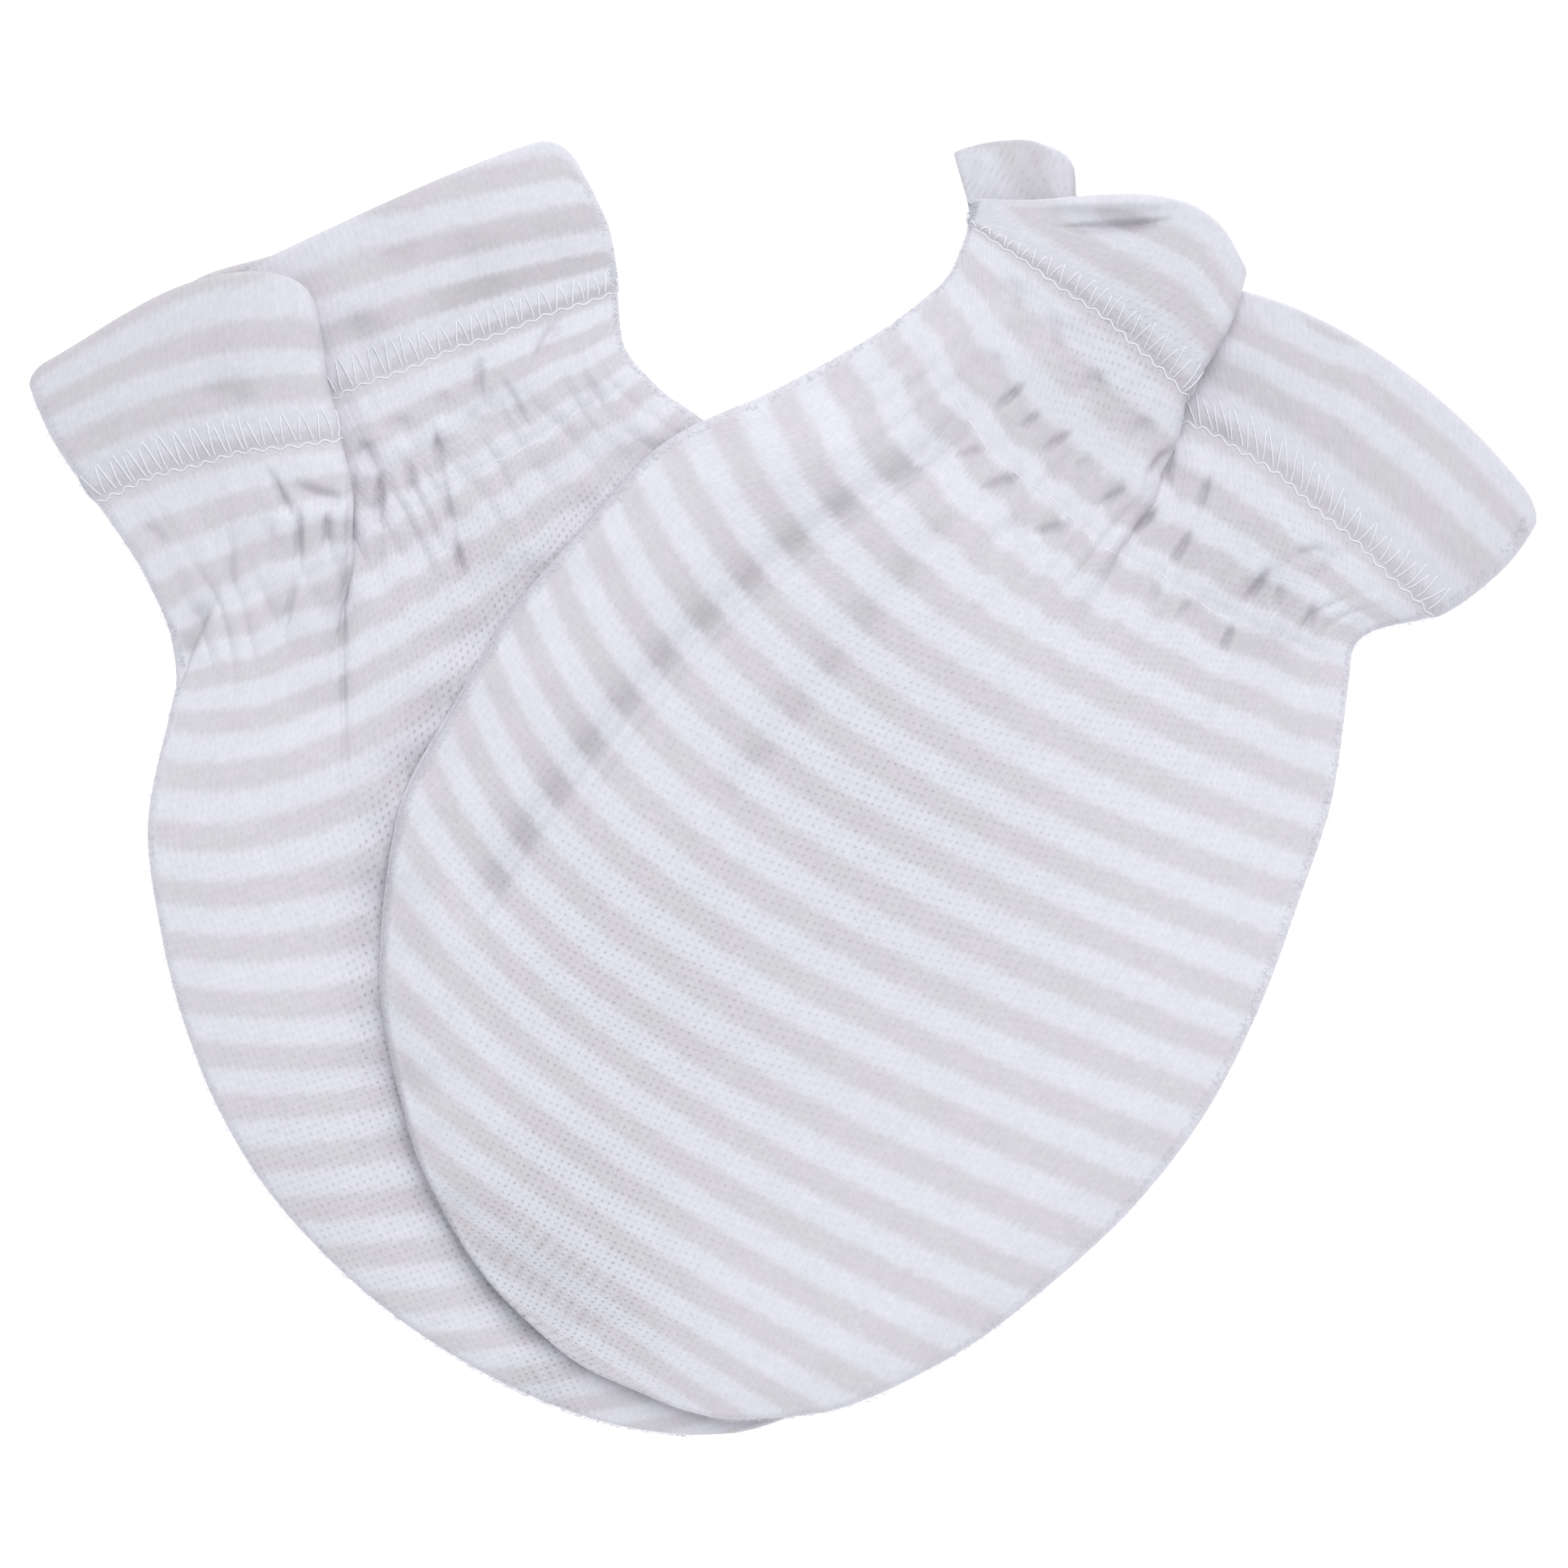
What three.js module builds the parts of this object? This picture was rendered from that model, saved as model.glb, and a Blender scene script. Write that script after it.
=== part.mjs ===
// A pair of baby mittens laid out flat, the right one lying over the left one.
// Millimetres, +Z up, the surface they lie on is z = 0, fingertips point to -Y.
// Each mitten is two cut panels seamed along their sides and round tip. The wrist is
// gathered on elastic, and past it the panels flare into a frill with a turned-in hem.
// A panel is mapped by t, mm along the cloth from the wrist (minus is the frill, plus is
// the hand), and by c, which runs along one knitted course from the left seam, -1, to the
// right seam, +1.
import * as THREE from 'three';

// Driving sizes
const wall = 1.2;            // jersey with its loft
const hemWall = 1.4;         // turned hem, two layers
const seamGap = 0.3;         // between an upper and a lower panel at their seam
const crownHeight = 0.9;     // how far an upper panel stands off the lower one
const crownReach = 7;        // mm from a seam to the full crown
const hemLine = -15;         // t of the stitched top of the hem
const frillEdge = -30;       // t of the folded edge of the hem
const bendLength = 3;        // cloth in one bend of a pleat
const overlapRamp = 16;      // how far the right mitten takes to come down to the surface
const overlapClear = 0.8;    // under the right mitten where it lies on the left one
const gatherCount = 13;      // gathers across a wrist
const gatherHeight = 0.55;
const gatherReach = 9;       // how far from the wrist the gathers fade, along t
const upperMiddle = wall + seamGap + wall / 2;
const leftMittenTop = upperMiddle + wall / 2 + crownHeight;

// Courses of the knit, one row each: where it meets the left and the right seam, how far
// it sags towards the fingertips between them, and where along it the sag is deepest.
const leftMitten = {
  courses: [
    { t: -30, lx: -68.5, ly: 37.3, rx: -20.2, ry: 58.6, sag: -0.8, lean: 0.5 },
    { t: -22.5, lx: -66.3, ly: 32.0, rx: -15.9, ry: 49.5, sag: -2.0, lean: 0 },
    { t: -15, lx: -62.3, ly: 25.8, rx: -15.2, ry: 44.7, sag: -0.6, lean: 0 },
    { t: -7.5, lx: -57.9, ly: 19.1, rx: -14.7, ry: 40.1, sag: 0, lean: 0 },
    { t: 0, lx: -55.3, ly: 12.9, rx: -11.7, ry: 36.1, sag: 1.5, lean: -0.4 },
    { t: 5, lx: -54.9, ly: 9.4, rx: -8.0, ry: 33.3, sag: 2.7, lean: -0.4 },
    { t: 10, lx: -55.6, ly: 6.0, rx: -3.7, ry: 30.4, sag: 4.2, lean: -0.45 },
    { t: 20, lx: -57.5, ly: -4.2, rx: 5.8, ry: 22.5, sag: 5.0, lean: -0.45 },
    { t: 30, lx: -56.1, ly: -14.4, rx: 13.2, ry: 13.5, sag: 6.2, lean: -0.3 },
    { t: 40, lx: -53.3, ly: -24.2, rx: 18.3, ry: 3.7, sag: 8.0, lean: -0.15 },
    { t: 50, lx: -48.5, ly: -34.0, rx: 21.8, ry: -6.6, sag: 6.5, lean: 0 },
    { t: 60, lx: -41.3, ly: -42.7, rx: 23.5, ry: -17.6, sag: 6.5, lean: 0 },
    { t: 70, lx: -31.6, ly: -50.5, rx: 22.4, ry: -29.0, sag: 5.0, lean: 0 },
    { t: 80, lx: -20.2, ly: -56.3, rx: 16.5, ry: -42.2, sag: 2.5, lean: 0 },
    { t: 85, lx: -13.3, ly: -58.2, rx: 10.3, ry: -49.9, sag: 1.2, lean: 0 },
    { t: 88, lx: -8.1, ly: -58.7, rx: 5.1, ry: -54.0, sag: 0.6, lean: 0 },
    { t: 90, lx: -4.4, ly: -58.5, rx: 0.3, ry: -57.1, sag: 0.2, lean: 0 },
  ],
  // The pleat in the upper panel: where its front edge is, how deep the hidden layer is,
  // how far it turns over, how high the top layer stands, and how far the cloth slides
  // towards the hem: at the front edge (top), where it comes out again (under), and
  // two thirds along the left lobe (heap).
  pleat: [
    { t: -30, edge: 0.04, depth: 5.0, turn: 180, lift: 5.0, top: -2.4, under: 0, heap: 2.2 },
    { t: -22.5, edge: -0.02, depth: 4.5, turn: 180, lift: 5.0, top: -4.0, under: 0, heap: 0.3 },
    { t: -15, edge: -0.075, depth: 3.5, turn: 180, lift: 4.8, top: -3.6, under: 0, heap: 0 },
    { t: -7.5, edge: -0.145, depth: 1.5, turn: 180, lift: 4.4, top: -2.5, under: 0, heap: 0 },
    { t: -2, edge: -0.2, depth: 0, turn: 140, lift: 3.4, top: -1.5, under: 0, heap: 0 },
    { t: 3, edge: -0.3, depth: 0, turn: 75, lift: 1.8, top: -0.8, under: 0, heap: 0 },
    { t: 8, edge: -0.42, depth: 0, turn: 35, lift: 0.9, top: 0, under: 0, heap: 0 },
    { t: 14, edge: -0.47, depth: 0, turn: 15, lift: 0.4, top: 0, under: 0, heap: 0 },
    { t: 22, edge: -0.47, depth: 0, turn: 0, lift: 0, top: 0, under: 0, heap: 0 },
  ],
  swell: { left: 0.6, right: 1.6 },     // how far the frill's two lobes puff up
  // The lower panel's hem: its left corner, its sag, and a ruffle that looks out.
  lowerHem: { lx: -68.5, ly: 37.3, sag: -0.7, at: -0.32, width: 0.2, reach: 1.2 },
  lip: 0,                               // the lower panel's seam roll beyond the upper one
  // Largest soft troughs of the upper panel, from end to end: bow to the left of that line.
  troughs: [
    { x1: -42.0, y1: 9.5, x2: -42.5, y2: 2.0, bow: 0, width: 1.6, depth: 0.5 },
    { x1: -36.0, y1: -30.0, x2: -22.0, y2: -52.0, bow: -1.0, width: 3.5, depth: 0.5 },
  ],
  columns: [15, 11, 26],                // left lobe, pleat, right lobe
};

const rightMitten = {
  courses: [
    { t: -30, lx: 17.6, ly: 53.1, rx: 68.5, ry: 24.7, sag: -5.5, lean: 0.1 },
    { t: -22.5, lx: 17.3, ly: 52.0, rx: 65.5, ry: 20.3, sag: -3.2, lean: 0 },
    { t: -15, lx: 16.9, ly: 50.7, rx: 58.8, ry: 15.3, sag: -0.9, lean: 0 },
    { t: -7.5, lx: 15.2, ly: 46.3, rx: 53.4, ry: 14.0, sag: 3.2, lean: -0.2 },
    { t: -4, lx: 12.3, ly: 43.5, rx: 51.4, ry: 12.3, sag: 4.4, lean: -0.15 },
    { t: 0, lx: 9.2, ly: 41.2, rx: 51.0, ry: 9.1, sag: 5.3, lean: -0.1 },
    { t: 10, lx: -0.4, ly: 35.8, rx: 49.6, ry: -0.9, sag: 6.6, lean: -0.25 },
    { t: 20, lx: -10.7, ly: 30.9, rx: 46.6, ry: -10.3, sag: 7.5, lean: -0.15 },
    { t: 30, lx: -17.7, ly: 23.6, rx: 43.0, ry: -20.0, sag: 7.7, lean: -0.25 },
    { t: 40, lx: -24.3, ly: 16.2, rx: 38.6, ry: -28.8, sag: 8.3, lean: -0.25 },
    { t: 50, lx: -29.8, ly: 7.4, rx: 32.2, ry: -37.4, sag: 7.9, lean: -0.28 },
    { t: 60, lx: -35.1, ly: -3.3, rx: 23.9, ry: -45.2, sag: 5.8, lean: -0.15 },
    { t: 70, lx: -36.6, ly: -16.9, rx: 14.3, ry: -52.1, sag: 3.2, lean: -0.1 },
    { t: 80, lx: -33.8, ly: -31.9, rx: 2.5, ry: -56.8, sag: 1.0, lean: 0 },
    { t: 85, lx: -30.9, ly: -38.5, rx: -4.4, ry: -57.3, sag: 0.3, lean: 0 },
    { t: 88, lx: -27.6, ly: -43.8, rx: -8.5, ry: -56.5, sag: 0.2, lean: 0 },
    { t: 90.5, lx: -23.9, ly: -47.7, rx: -13.3, ry: -54.6, sag: 0.2, lean: 0 },
    { t: 92, lx: -21.6, ly: -49.7, rx: -16.7, ry: -53.1, sag: 0.3, lean: 0 },
  ],
  pleat: [
    { t: -30, edge: -0.145, depth: 5.5, turn: 180, lift: 5.2, top: 1.7, under: -3.6, heap: 3.6 },
    { t: -22.5, edge: -0.12, depth: 5.0, turn: 180, lift: 5.2, top: 1.5, under: -2.5, heap: 2.6 },
    { t: -15, edge: -0.086, depth: 3.5, turn: 180, lift: 4.8, top: 0, under: -3.0, heap: 0.6 },
    { t: -7.5, edge: 0.035, depth: 1.0, turn: 170, lift: 4.0, top: 0, under: -2.0, heap: 0 },
    { t: -2, edge: 0.09, depth: 0, turn: 110, lift: 2.4, top: 0, under: -0.5, heap: 0 },
    { t: 3, edge: 0.12, depth: 0, turn: 50, lift: 1.2, top: 0, under: 0, heap: 0 },
    { t: 10, edge: 0.12, depth: 0, turn: 0, lift: 0, top: 0, under: 0, heap: 0 },
  ],
  swell: { left: 1.0, right: 1.8 },
  lowerHem: { lx: 16.0, ly: 57.4, sag: -1.0, at: -0.73, width: 0.13, reach: 3.2 },
  lip: 1.2,
  troughs: [
    { x1: 13.0, y1: 30.0, x2: -25.5, y2: -9.0, bow: -3.0, width: 2.6, depth: 0.8 },
    { x1: 8.0, y1: 17.0, x2: -2.0, y2: 3.0, bow: 0, width: 3.0, depth: 0.4 },
    { x1: 23.5, y1: 50.9, x2: 35.5, y2: 49.8, bow: 0.3, width: 1.5, depth: 1.3 },
  ],
  columns: [24, 11, 17],
};

// Stations along t. Rows up to the first hand row carry every column, the rest every second.
const frillRows = [-30, -28, -25, -21.5, -18, -15.5, -13.5, -11, -8.5, -6, -3.5, -1, 2, 5.5, 10];
const handRows = [16, 23, 30, 37, 44, 51, 58, 65, 72, 79, 84, 87];
const lowerColumns = 14;

const smooth = (a, b, x) => {
  const f = Math.min(1, Math.max(0, (x - a) / (b - a)));
  return f * f * (3 - 2 * f);
};
const mix = (a, b, f) => a + (b - a) * f;

// A smooth curve through a table's rows, flat where a column has a high or low point.
function read(rows, key, t) {
  const n = rows.length;
  if (t <= rows[0].t) return rows[0][key];
  if (t >= rows[n - 1].t) return rows[n - 1][key];
  let i = 0;
  while (rows[i + 1].t < t) i += 1;
  const slope = (j) => (rows[j + 1][key] - rows[j][key]) / (rows[j + 1].t - rows[j].t);
  const tangent = (j) => {
    if (j === 0) return slope(0);
    if (j === n - 1) return slope(n - 2);
    const before = slope(j - 1);
    const after = slope(j);
    return before * after <= 0 ? 0 : (2 * before * after) / (before + after);
  };
  const h = rows[i + 1].t - rows[i].t;
  const f = (t - rows[i].t) / h;
  const a = rows[i][key];
  const b = rows[i + 1][key];
  const da = tangent(i) * h;
  const db = tangent(i + 1) * h;
  return a + da * f + (3 * (b - a) - 2 * da - db) * f * f + (2 * (a - b) + da + db) * f ** 3;
}

// Plan of one course: seam ends, half length, and the direction towards the fingertips.
function course(mitten, t) {
  const at = (key) => read(mitten.courses, key, t);
  const [lx, ly, rx, ry] = ['lx', 'ly', 'rx', 'ry'].map(at);
  const half = Math.hypot(rx - lx, ry - ly) / 2;
  const tip = [(ry - ly) / (2 * half), -(rx - lx) / (2 * half)];
  return { lx, ly, rx, ry, half, tip, sag: at('sag'), lean: at('lean') };
}

// Plan point at c on a course, moved by slide mm towards the hem.
function planPoint(line, c, slide = 0) {
  const warped = (c - line.lean) / (1 - line.lean * c);
  const sag = line.sag * (1 - warped * warped) - slide;
  return [
    mix(line.lx, line.rx, (c + 1) / 2) + line.tip[0] * sag,
    mix(line.ly, line.ry, (c + 1) / 2) + line.tip[1] * sag,
  ];
}

// The hidden right edge of the left mitten, as x at a given y.
function leftMittenEdge(y) {
  const rows = leftMitten.courses;
  const start = rows.findIndex((row) => row.t === 0);
  for (let i = start; i < rows.length - 1; i += 1) {
    const above = rows[i];
    const below = rows[i + 1];
    if (y <= above.ry && y >= below.ry) {
      return mix(above.rx, below.rx, (above.ry - y) / (above.ry - below.ry));
    }
  }
  return y > 0 ? rows[start].rx : 0;
}

// What the underside of a mitten lies on: the surface, or the left mitten.
function ground(mitten, x, y) {
  if (mitten === leftMitten) return 0;
  const past = x - leftMittenEdge(y) - 1.5;
  return (leftMittenTop + overlapClear) * (1 - smooth(0, overlapRamp, past));
}

// One fold of a pleat seen along the cloth: bend over, hidden layer, bend back.
// f runs 0..1 through it; x is forward along the course and z is up.
function pleatPath(turn, depth, f) {
  const angle = Math.max(1e-4, (turn * Math.PI) / 180);
  const radius = bendLength / angle;
  const first = Math.min(f / 0.45, 1);
  const middle = Math.min(Math.max((f - 0.45) / 0.1, 0), 1);
  const last = Math.max((f - 0.55) / 0.45, 0);
  const back = angle * (1 - last);
  return {
    x: radius * Math.sin(angle * first) + depth * middle * Math.cos(angle)
      + radius * (Math.sin(angle) - Math.sin(back)) * (last > 0 ? 1 : 0),
    z: -radius * (1 - Math.cos(angle * first)) - depth * middle * Math.sin(angle)
      - radius * (Math.cos(back) - Math.cos(angle)) * (last > 0 ? 1 : 0),
  };
}

// Where column q (0 at the left seam, 1 at the right) of an upper panel lies at t:
// its c, its height over the flat panel, and how far it slides towards the hem.
function upperColumn(mitten, line, q, t) {
  const at = (key) => read(mitten.pleat, key, t);
  const [leftCount, foldCount, rightCount] = mitten.columns;
  const total = leftCount + foldCount + rightCount;
  const qa = leftCount / total;
  const qb = (leftCount + foldCount) / total;
  const turn = at('turn');
  const depth = at('depth');
  const lift = at('lift');
  const frill = 1 - smooth(-14, 2, t);
  const reach = pleatPath(Math.min(turn, 90), 0, 0.45).x;
  const start = at('edge') * line.half - (turn > 1 ? reach : bendLength);
  const end = pleatPath(turn, depth, 1);
  const ca = start / line.half;
  const cb = (start + end.x) / line.half;
  if (q <= qa) {
    const f = q / qa;
    const puff = mitten.swell.left * frill * 4 * f * (1 - f);
    const slide = at('top') * f * f + at('heap') * 6.75 * f * f * (1 - f);
    return { c: mix(-1, ca, f), up: lift * smooth(0, 1, f) + puff, slide };
  }
  if (q >= qb) {
    const f = (q - qb) / (1 - qb);
    const puff = mitten.swell.right * frill * 4 * f * (1 - f);
    const rest = Math.max(0, lift + end.z);
    const slide = at('under') * (1 - f) ** 6;
    return { c: mix(cb, 1, f), up: rest * (1 - smooth(0, 1, f)) + puff, slide };
  }
  const f = (q - qa) / (qb - qa);
  const bend = pleatPath(turn, depth, f);
  const drop = Math.max(bend.z, -lift);
  const slide = mix(at('top'), at('under'), smooth(0, 1, f));
  return { c: (start + bend.x) / line.half, up: lift + drop, slide };
}

// How deep the troughs are at a place: full along the middle, fading out at both ends.
function troughDepth(troughs, x, y) {
  return troughs.reduce((sum, { x1, y1, x2, y2, bow, width, depth }) => {
    const length = Math.hypot(x2 - x1, y2 - y1);
    const along = ((x - x1) * (x2 - x1) + (y - y1) * (y2 - y1)) / (length * length);
    if (along <= 0 || along >= 1) return sum;
    const side = ((x - x1) * (y2 - y1) - (y - y1) * (x2 - x1)) / length;
    const off = (side - bow * 4 * along * (1 - along)) / width;
    return sum + depth * Math.exp(-off * off) * smooth(0, 0.2, along) * smooth(1, 0.8, along);
  }, 0);
}

// Middle of the cloth of an upper panel.
function upperPoint(mitten, q, t) {
  const line = course(mitten, t);
  const inset = mitten.lip * smooth(45, 65, t);
  const spot = upperColumn(mitten, line, q, t);
  line.lx -= line.tip[1] * inset;
  line.ly += line.tip[0] * inset;
  const [x, y] = planPoint(line, spot.c, spot.slide);
  const fromSeam = line.half * (1 - Math.abs(Math.max(-1, Math.min(1, spot.c))));
  const crown = crownHeight * Math.sqrt(smooth(0, crownReach, fromSeam)) * smooth(92, 78, t);
  const gather = gatherHeight * Math.exp(-((t / gatherReach) ** 2)) * smooth(0, 3, fromSeam);
  const wave = gather * (1 - Math.cos(Math.PI * gatherCount * (spot.c + 1) + 0.8 * Math.sin(5 * spot.c)));
  const relief = Math.max(0, crown + spot.up + wave - troughDepth(mitten.troughs, x, y));
  return new THREE.Vector3(x, y, ground(mitten, x, y) + upperMiddle + relief);
}

// Columns of a row, from 0 to 1.
function columns(count) {
  return Array.from({ length: count + 1 }, (_, i) => i / count);
}

// Joins two neighbouring rows of points, which may differ in count, into a strip.
function strip(faces, rowA, rowB, flip) {
  let i = 0;
  let j = 0;
  const push = (a, b, c) => faces.push(...(flip ? [a, c, b] : [a, b, c]));
  while (i < rowA.length - 1 || j < rowB.length - 1) {
    const nextA = i < rowA.length - 1 ? (rowA[i].q + rowA[i + 1].q) / 2 : Infinity;
    const nextB = j < rowB.length - 1 ? (rowB[j].q + rowB[j + 1].q) / 2 : Infinity;
    if (nextA <= nextB) {
      push(rowA[i].id, rowB[j].id, rowA[i + 1].id);
      i += 1;
    } else {
      push(rowA[i].id, rowB[j].id, rowB[j + 1].id);
      j += 1;
    }
  }
}

// A closed wall between two skins given as rows of points that match one to one.
function closedWall(name, rows, colour) {
  const points = [];
  const faces = [];
  const add = (p, q) => {
    points.push(p.x, p.y, p.z);
    return { id: points.length / 3 - 1, q };
  };
  const skins = ['top', 'bottom'].map((side) => rows.map((row) => row.map((spot) => add(spot[side], spot.q))));
  skins.forEach((skin, k) => {
    for (let i = 0; i < skin.length - 1; i += 1) strip(faces, skin[i], skin[i + 1], k === 1);
  });
  const [top, bottom] = skins;
  const rim = (skin) => [
    ...skin[0],
    ...skin.slice(1).map((row) => row[row.length - 1]),
    ...skin[skin.length - 1].slice(0, -1).reverse(),
    ...skin.slice(1, -1).map((row) => row[0]).reverse(),
  ];
  const outer = rim(top);
  const inner = rim(bottom);
  outer.forEach((spot, i) => {
    const next = (i + 1) % outer.length;
    faces.push(spot.id, outer[next].id, inner[i].id, inner[i].id, outer[next].id, inner[next].id);
  });
  const geometry = new THREE.BufferGeometry();
  geometry.setAttribute('position', new THREE.Float32BufferAttribute(points, 3));
  geometry.setIndex(faces);
  geometry.computeVertexNormals();
  const mesh = new THREE.Mesh(geometry, new THREE.MeshStandardMaterial({ color: colour, roughness: 0.95, metalness: 0 }));
  mesh.name = name;
  return mesh;
}

function stations(mitten) {
  const last = mitten.courses[mitten.courses.length - 1].t;
  return [...frillRows, ...handRows, last - 2.2, last - 0.8, last];
}

function upperPanel(name, mitten, colour) {
  const total = mitten.columns.reduce((sum, count) => sum + count);
  const step = 0.01;
  const rows = stations(mitten).map((t) => {
    const thick = mix(hemWall, wall, smooth(hemLine - 1, hemLine + 1, t)) / 2;
    return columns(t > 12.5 ? total / 2 : total).map((q) => {
      const p = upperPoint(mitten, q, t);
      const qn = Math.min(q, 1 - step / 4);
      const along = upperPoint(mitten, qn + step / 4, t).sub(upperPoint(mitten, Math.max(0, qn - step / 4), t));
      const down = upperPoint(mitten, q, t + step).sub(upperPoint(mitten, q, t - step));
      const normal = down.cross(along).normalize();
      return {
        q,
        top: p.clone().addScaledVector(normal, thick),
        bottom: p.clone().addScaledVector(normal, -thick),
      };
    });
  });
  return closedWall(name, rows, colour);
}

function lowerPanel(name, mitten, colour) {
  const rows = stations(mitten).map((t) => {
    const line = course(mitten, t);
    const hem = mitten.lowerHem;
    const own = 1 - smooth(frillEdge, hemLine, t);
    ['lx', 'ly', 'sag'].forEach((key) => { line[key] = mix(line[key], hem[key], own); });
    return columns(lowerColumns).map((q) => {
      const c = -Math.cos(Math.PI * q);
      const ruffle = Math.exp(-(((c - hem.at) / hem.width) ** 2)) * hem.reach * own;
      const [x, y] = planPoint(line, c, ruffle);
      const low = ground(mitten, x, y);
      return { q, top: new THREE.Vector3(x, y, low + wall), bottom: new THREE.Vector3(x, y, low) };
    });
  });
  return closedWall(name, rows, colour);
}

const cloth = '#d8d8df';
const pair = new THREE.Group();
pair.add(lowerPanel('left_lower_panel', leftMitten, cloth));
pair.add(upperPanel('left_upper_panel', leftMitten, cloth));
pair.add(lowerPanel('right_lower_panel', rightMitten, cloth));
pair.add(upperPanel('right_upper_panel', rightMitten, cloth));

export default pair;
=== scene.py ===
"""A pair of baby mittens in striped jersey, laid out flat, the right one over the left one.

The tables and the panel mapping follow those of the solids, in millimetres, with the folds
and the hems of the frills drawn a little finer. A panel is mapped by t, mm along the cloth
from the wrist (minus is the frill, plus is the hand), and by q, 0 at the left seam and 1 at
the right one. c is the place on a course as it lies, -1 at the left seam and 1 at the right
one. Each panel is a thin closed shell on that form, with its creases listed one by one, and
the sewing is modelled on top.
"""
import math

import bpy
import numpy as np
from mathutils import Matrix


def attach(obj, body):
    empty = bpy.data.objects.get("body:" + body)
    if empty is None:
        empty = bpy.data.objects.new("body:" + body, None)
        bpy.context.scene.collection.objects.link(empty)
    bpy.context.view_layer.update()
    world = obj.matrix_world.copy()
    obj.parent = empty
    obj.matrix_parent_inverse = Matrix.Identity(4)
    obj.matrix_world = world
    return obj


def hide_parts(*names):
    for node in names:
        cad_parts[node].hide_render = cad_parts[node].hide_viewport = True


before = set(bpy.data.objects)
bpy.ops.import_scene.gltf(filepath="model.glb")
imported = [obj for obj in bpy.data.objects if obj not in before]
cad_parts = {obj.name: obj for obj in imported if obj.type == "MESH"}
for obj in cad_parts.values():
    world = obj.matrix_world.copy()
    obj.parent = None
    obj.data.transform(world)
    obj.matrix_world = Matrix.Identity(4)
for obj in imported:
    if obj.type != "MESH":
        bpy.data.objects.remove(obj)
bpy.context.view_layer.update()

MM = 0.001
PHOTO_WIDTH = 142.0      # mm that the camera takes in, side to side

# The solids' driving sizes, in mm
UPPER_MIDDLE = 2.1       # middle of an upper panel over what the mitten lies on
CROWN_HEIGHT = 0.9
CROWN_REACH = 7.0
HEM_LINE = -15.0
ELASTIC_LINE = -1.7
FRILL_EDGE = -30.0
BEND_LENGTH = 3.0
OVERLAP_RAMP = 26.0

# The cloth's own sizes, in mm
CLOTH = 0.5              # thickness of the jersey
HEM_CLOTH = 1.0          # turned hem, two layers
LOWER_MIDDLE = 0.3       # middle of a lower panel over what it lies on
SEAM_MIDDLE = 1.15       # middle of an upper panel at its seam
SEAM_ROLL = 0.9          # how far from the seam the roll of its edge reaches
LOWER_SEAM = 1.0         # middle of a lower panel at its seam
SEAM_DROP = 0.8          # how much a seam sinks into the mitten below it
SEAM_LEAST = 0.02        # keeps a little thickness at the seam itself
RIM_ROLL = 0.35          # reach of the cloth's own rounding at a seam
EDGE_ROLL = 0.6          # and at the frill's edge
LEFT_TOP = 3.2           # top of the left mitten where the right one lies on it
PRESS_DEPTH = 1.2        # how far the right mitten's edge presses into the left one
PRESS_REACH = 4.6
STRIPE_PERIOD = 5.0      # one grey and one white stripe
EDGE_DRIFT_END = -24.5   # t up to which the frill's edge draws its stripes askew
WALE_PITCH = 0.70        # one stitch across
COURSE_PITCH = 0.70      # one row of stitches
CREASE_FADE = 5.0        # over which a long crease rises to its depth at either end
NARROW_CREASE = 0.46     # reach under which a crease is narrow and adds painted shade
GATHER_HEIGHT = 0.52     # how far the wrist's small gathers puff up
STITCH_PITCH = 1.6       # one pair of the hem seam's slanted stitches
ELASTIC_PITCH = 2.1      # one stitch of the elastic's line and the gap after it
ELASTIC_STITCH = 1.6     # that stitch alone
THREAD = 0.075           # radius of the sewing thread
FIBRE = 0.016            # radius of a loose fibre at the seams
FUZZ_LENGTH = 0.6        # the longest loose fibres
FINE_ROWS_END = 18.0     # t up to which the rows of a panel's grid lie close together

# Shares and counts
TIP_SLOPE = 1.2          # mm away from the fingertips' seam for each mm of t
HUMP = 6.75              # brings the top of f * f * (1 - f) to 1
WRIST_PACKING = 0.35     # how much closer the wales lie where the wrist is gathered
NARROW_CREASE_SHADE = 0.6       # how much painted shade a narrow crease adds
MOST_PAINTED_SHADE = 1.8
GATHERS = 19             # small gathers across a wrist
FUZZ_COUNT = 2200        # fibres along one seam
FUZZ_BAND = 0.012        # share of the panel's width that they grow from

# Painted shade, as shares of the cloth's own colour
HEM_SHADE = 0.94          # painted shade over the turned hem
LADDER_SHADE = 0.915      # painted shade on the cloth under the hem's slanted stitches
PAINTED_SHADE_TONE = 0.03      # how much painted shade darkens the cloth in creases and troughs
PAINTED_SHADE_GREY = 0.15      # and how much more in its grey stripes


class Table:
    """Rows of named columns, read as smooth curves along the first column."""

    def __init__(self, keys, rows):
        self.keys = keys.split()
        self.rows = np.array(rows, float)

    def column(self, key):
        return self.rows[:, self.keys.index(key)]

    def read(self, key, at):
        """A smooth curve through a column, flat where it has a high or low point."""
        place, value = self.rows[:, 0], self.column(key)
        slope = np.diff(value) / np.diff(place)
        tangent = np.zeros(len(value))
        tangent[0], tangent[-1] = slope[0], slope[-1]
        before, after = slope[:-1], slope[1:]
        same = before * after > 0
        total = np.where(same, before + after, 1.0)
        tangent[1:-1] = np.where(same, 2 * before * after / total, 0.0)
        i = np.clip(np.searchsorted(place, at, side="right") - 1, 0, len(place) - 2)
        h = place[i + 1] - place[i]
        f = np.clip((at - place[i]) / h, 0, 1)
        a, b = value[i], value[i + 1]
        da, db = tangent[i] * h, tangent[i + 1] * h
        return a + da * f + (3 * (b - a) - 2 * da - db) * f**2 + (2 * (a - b) + da + db) * f**3


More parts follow.
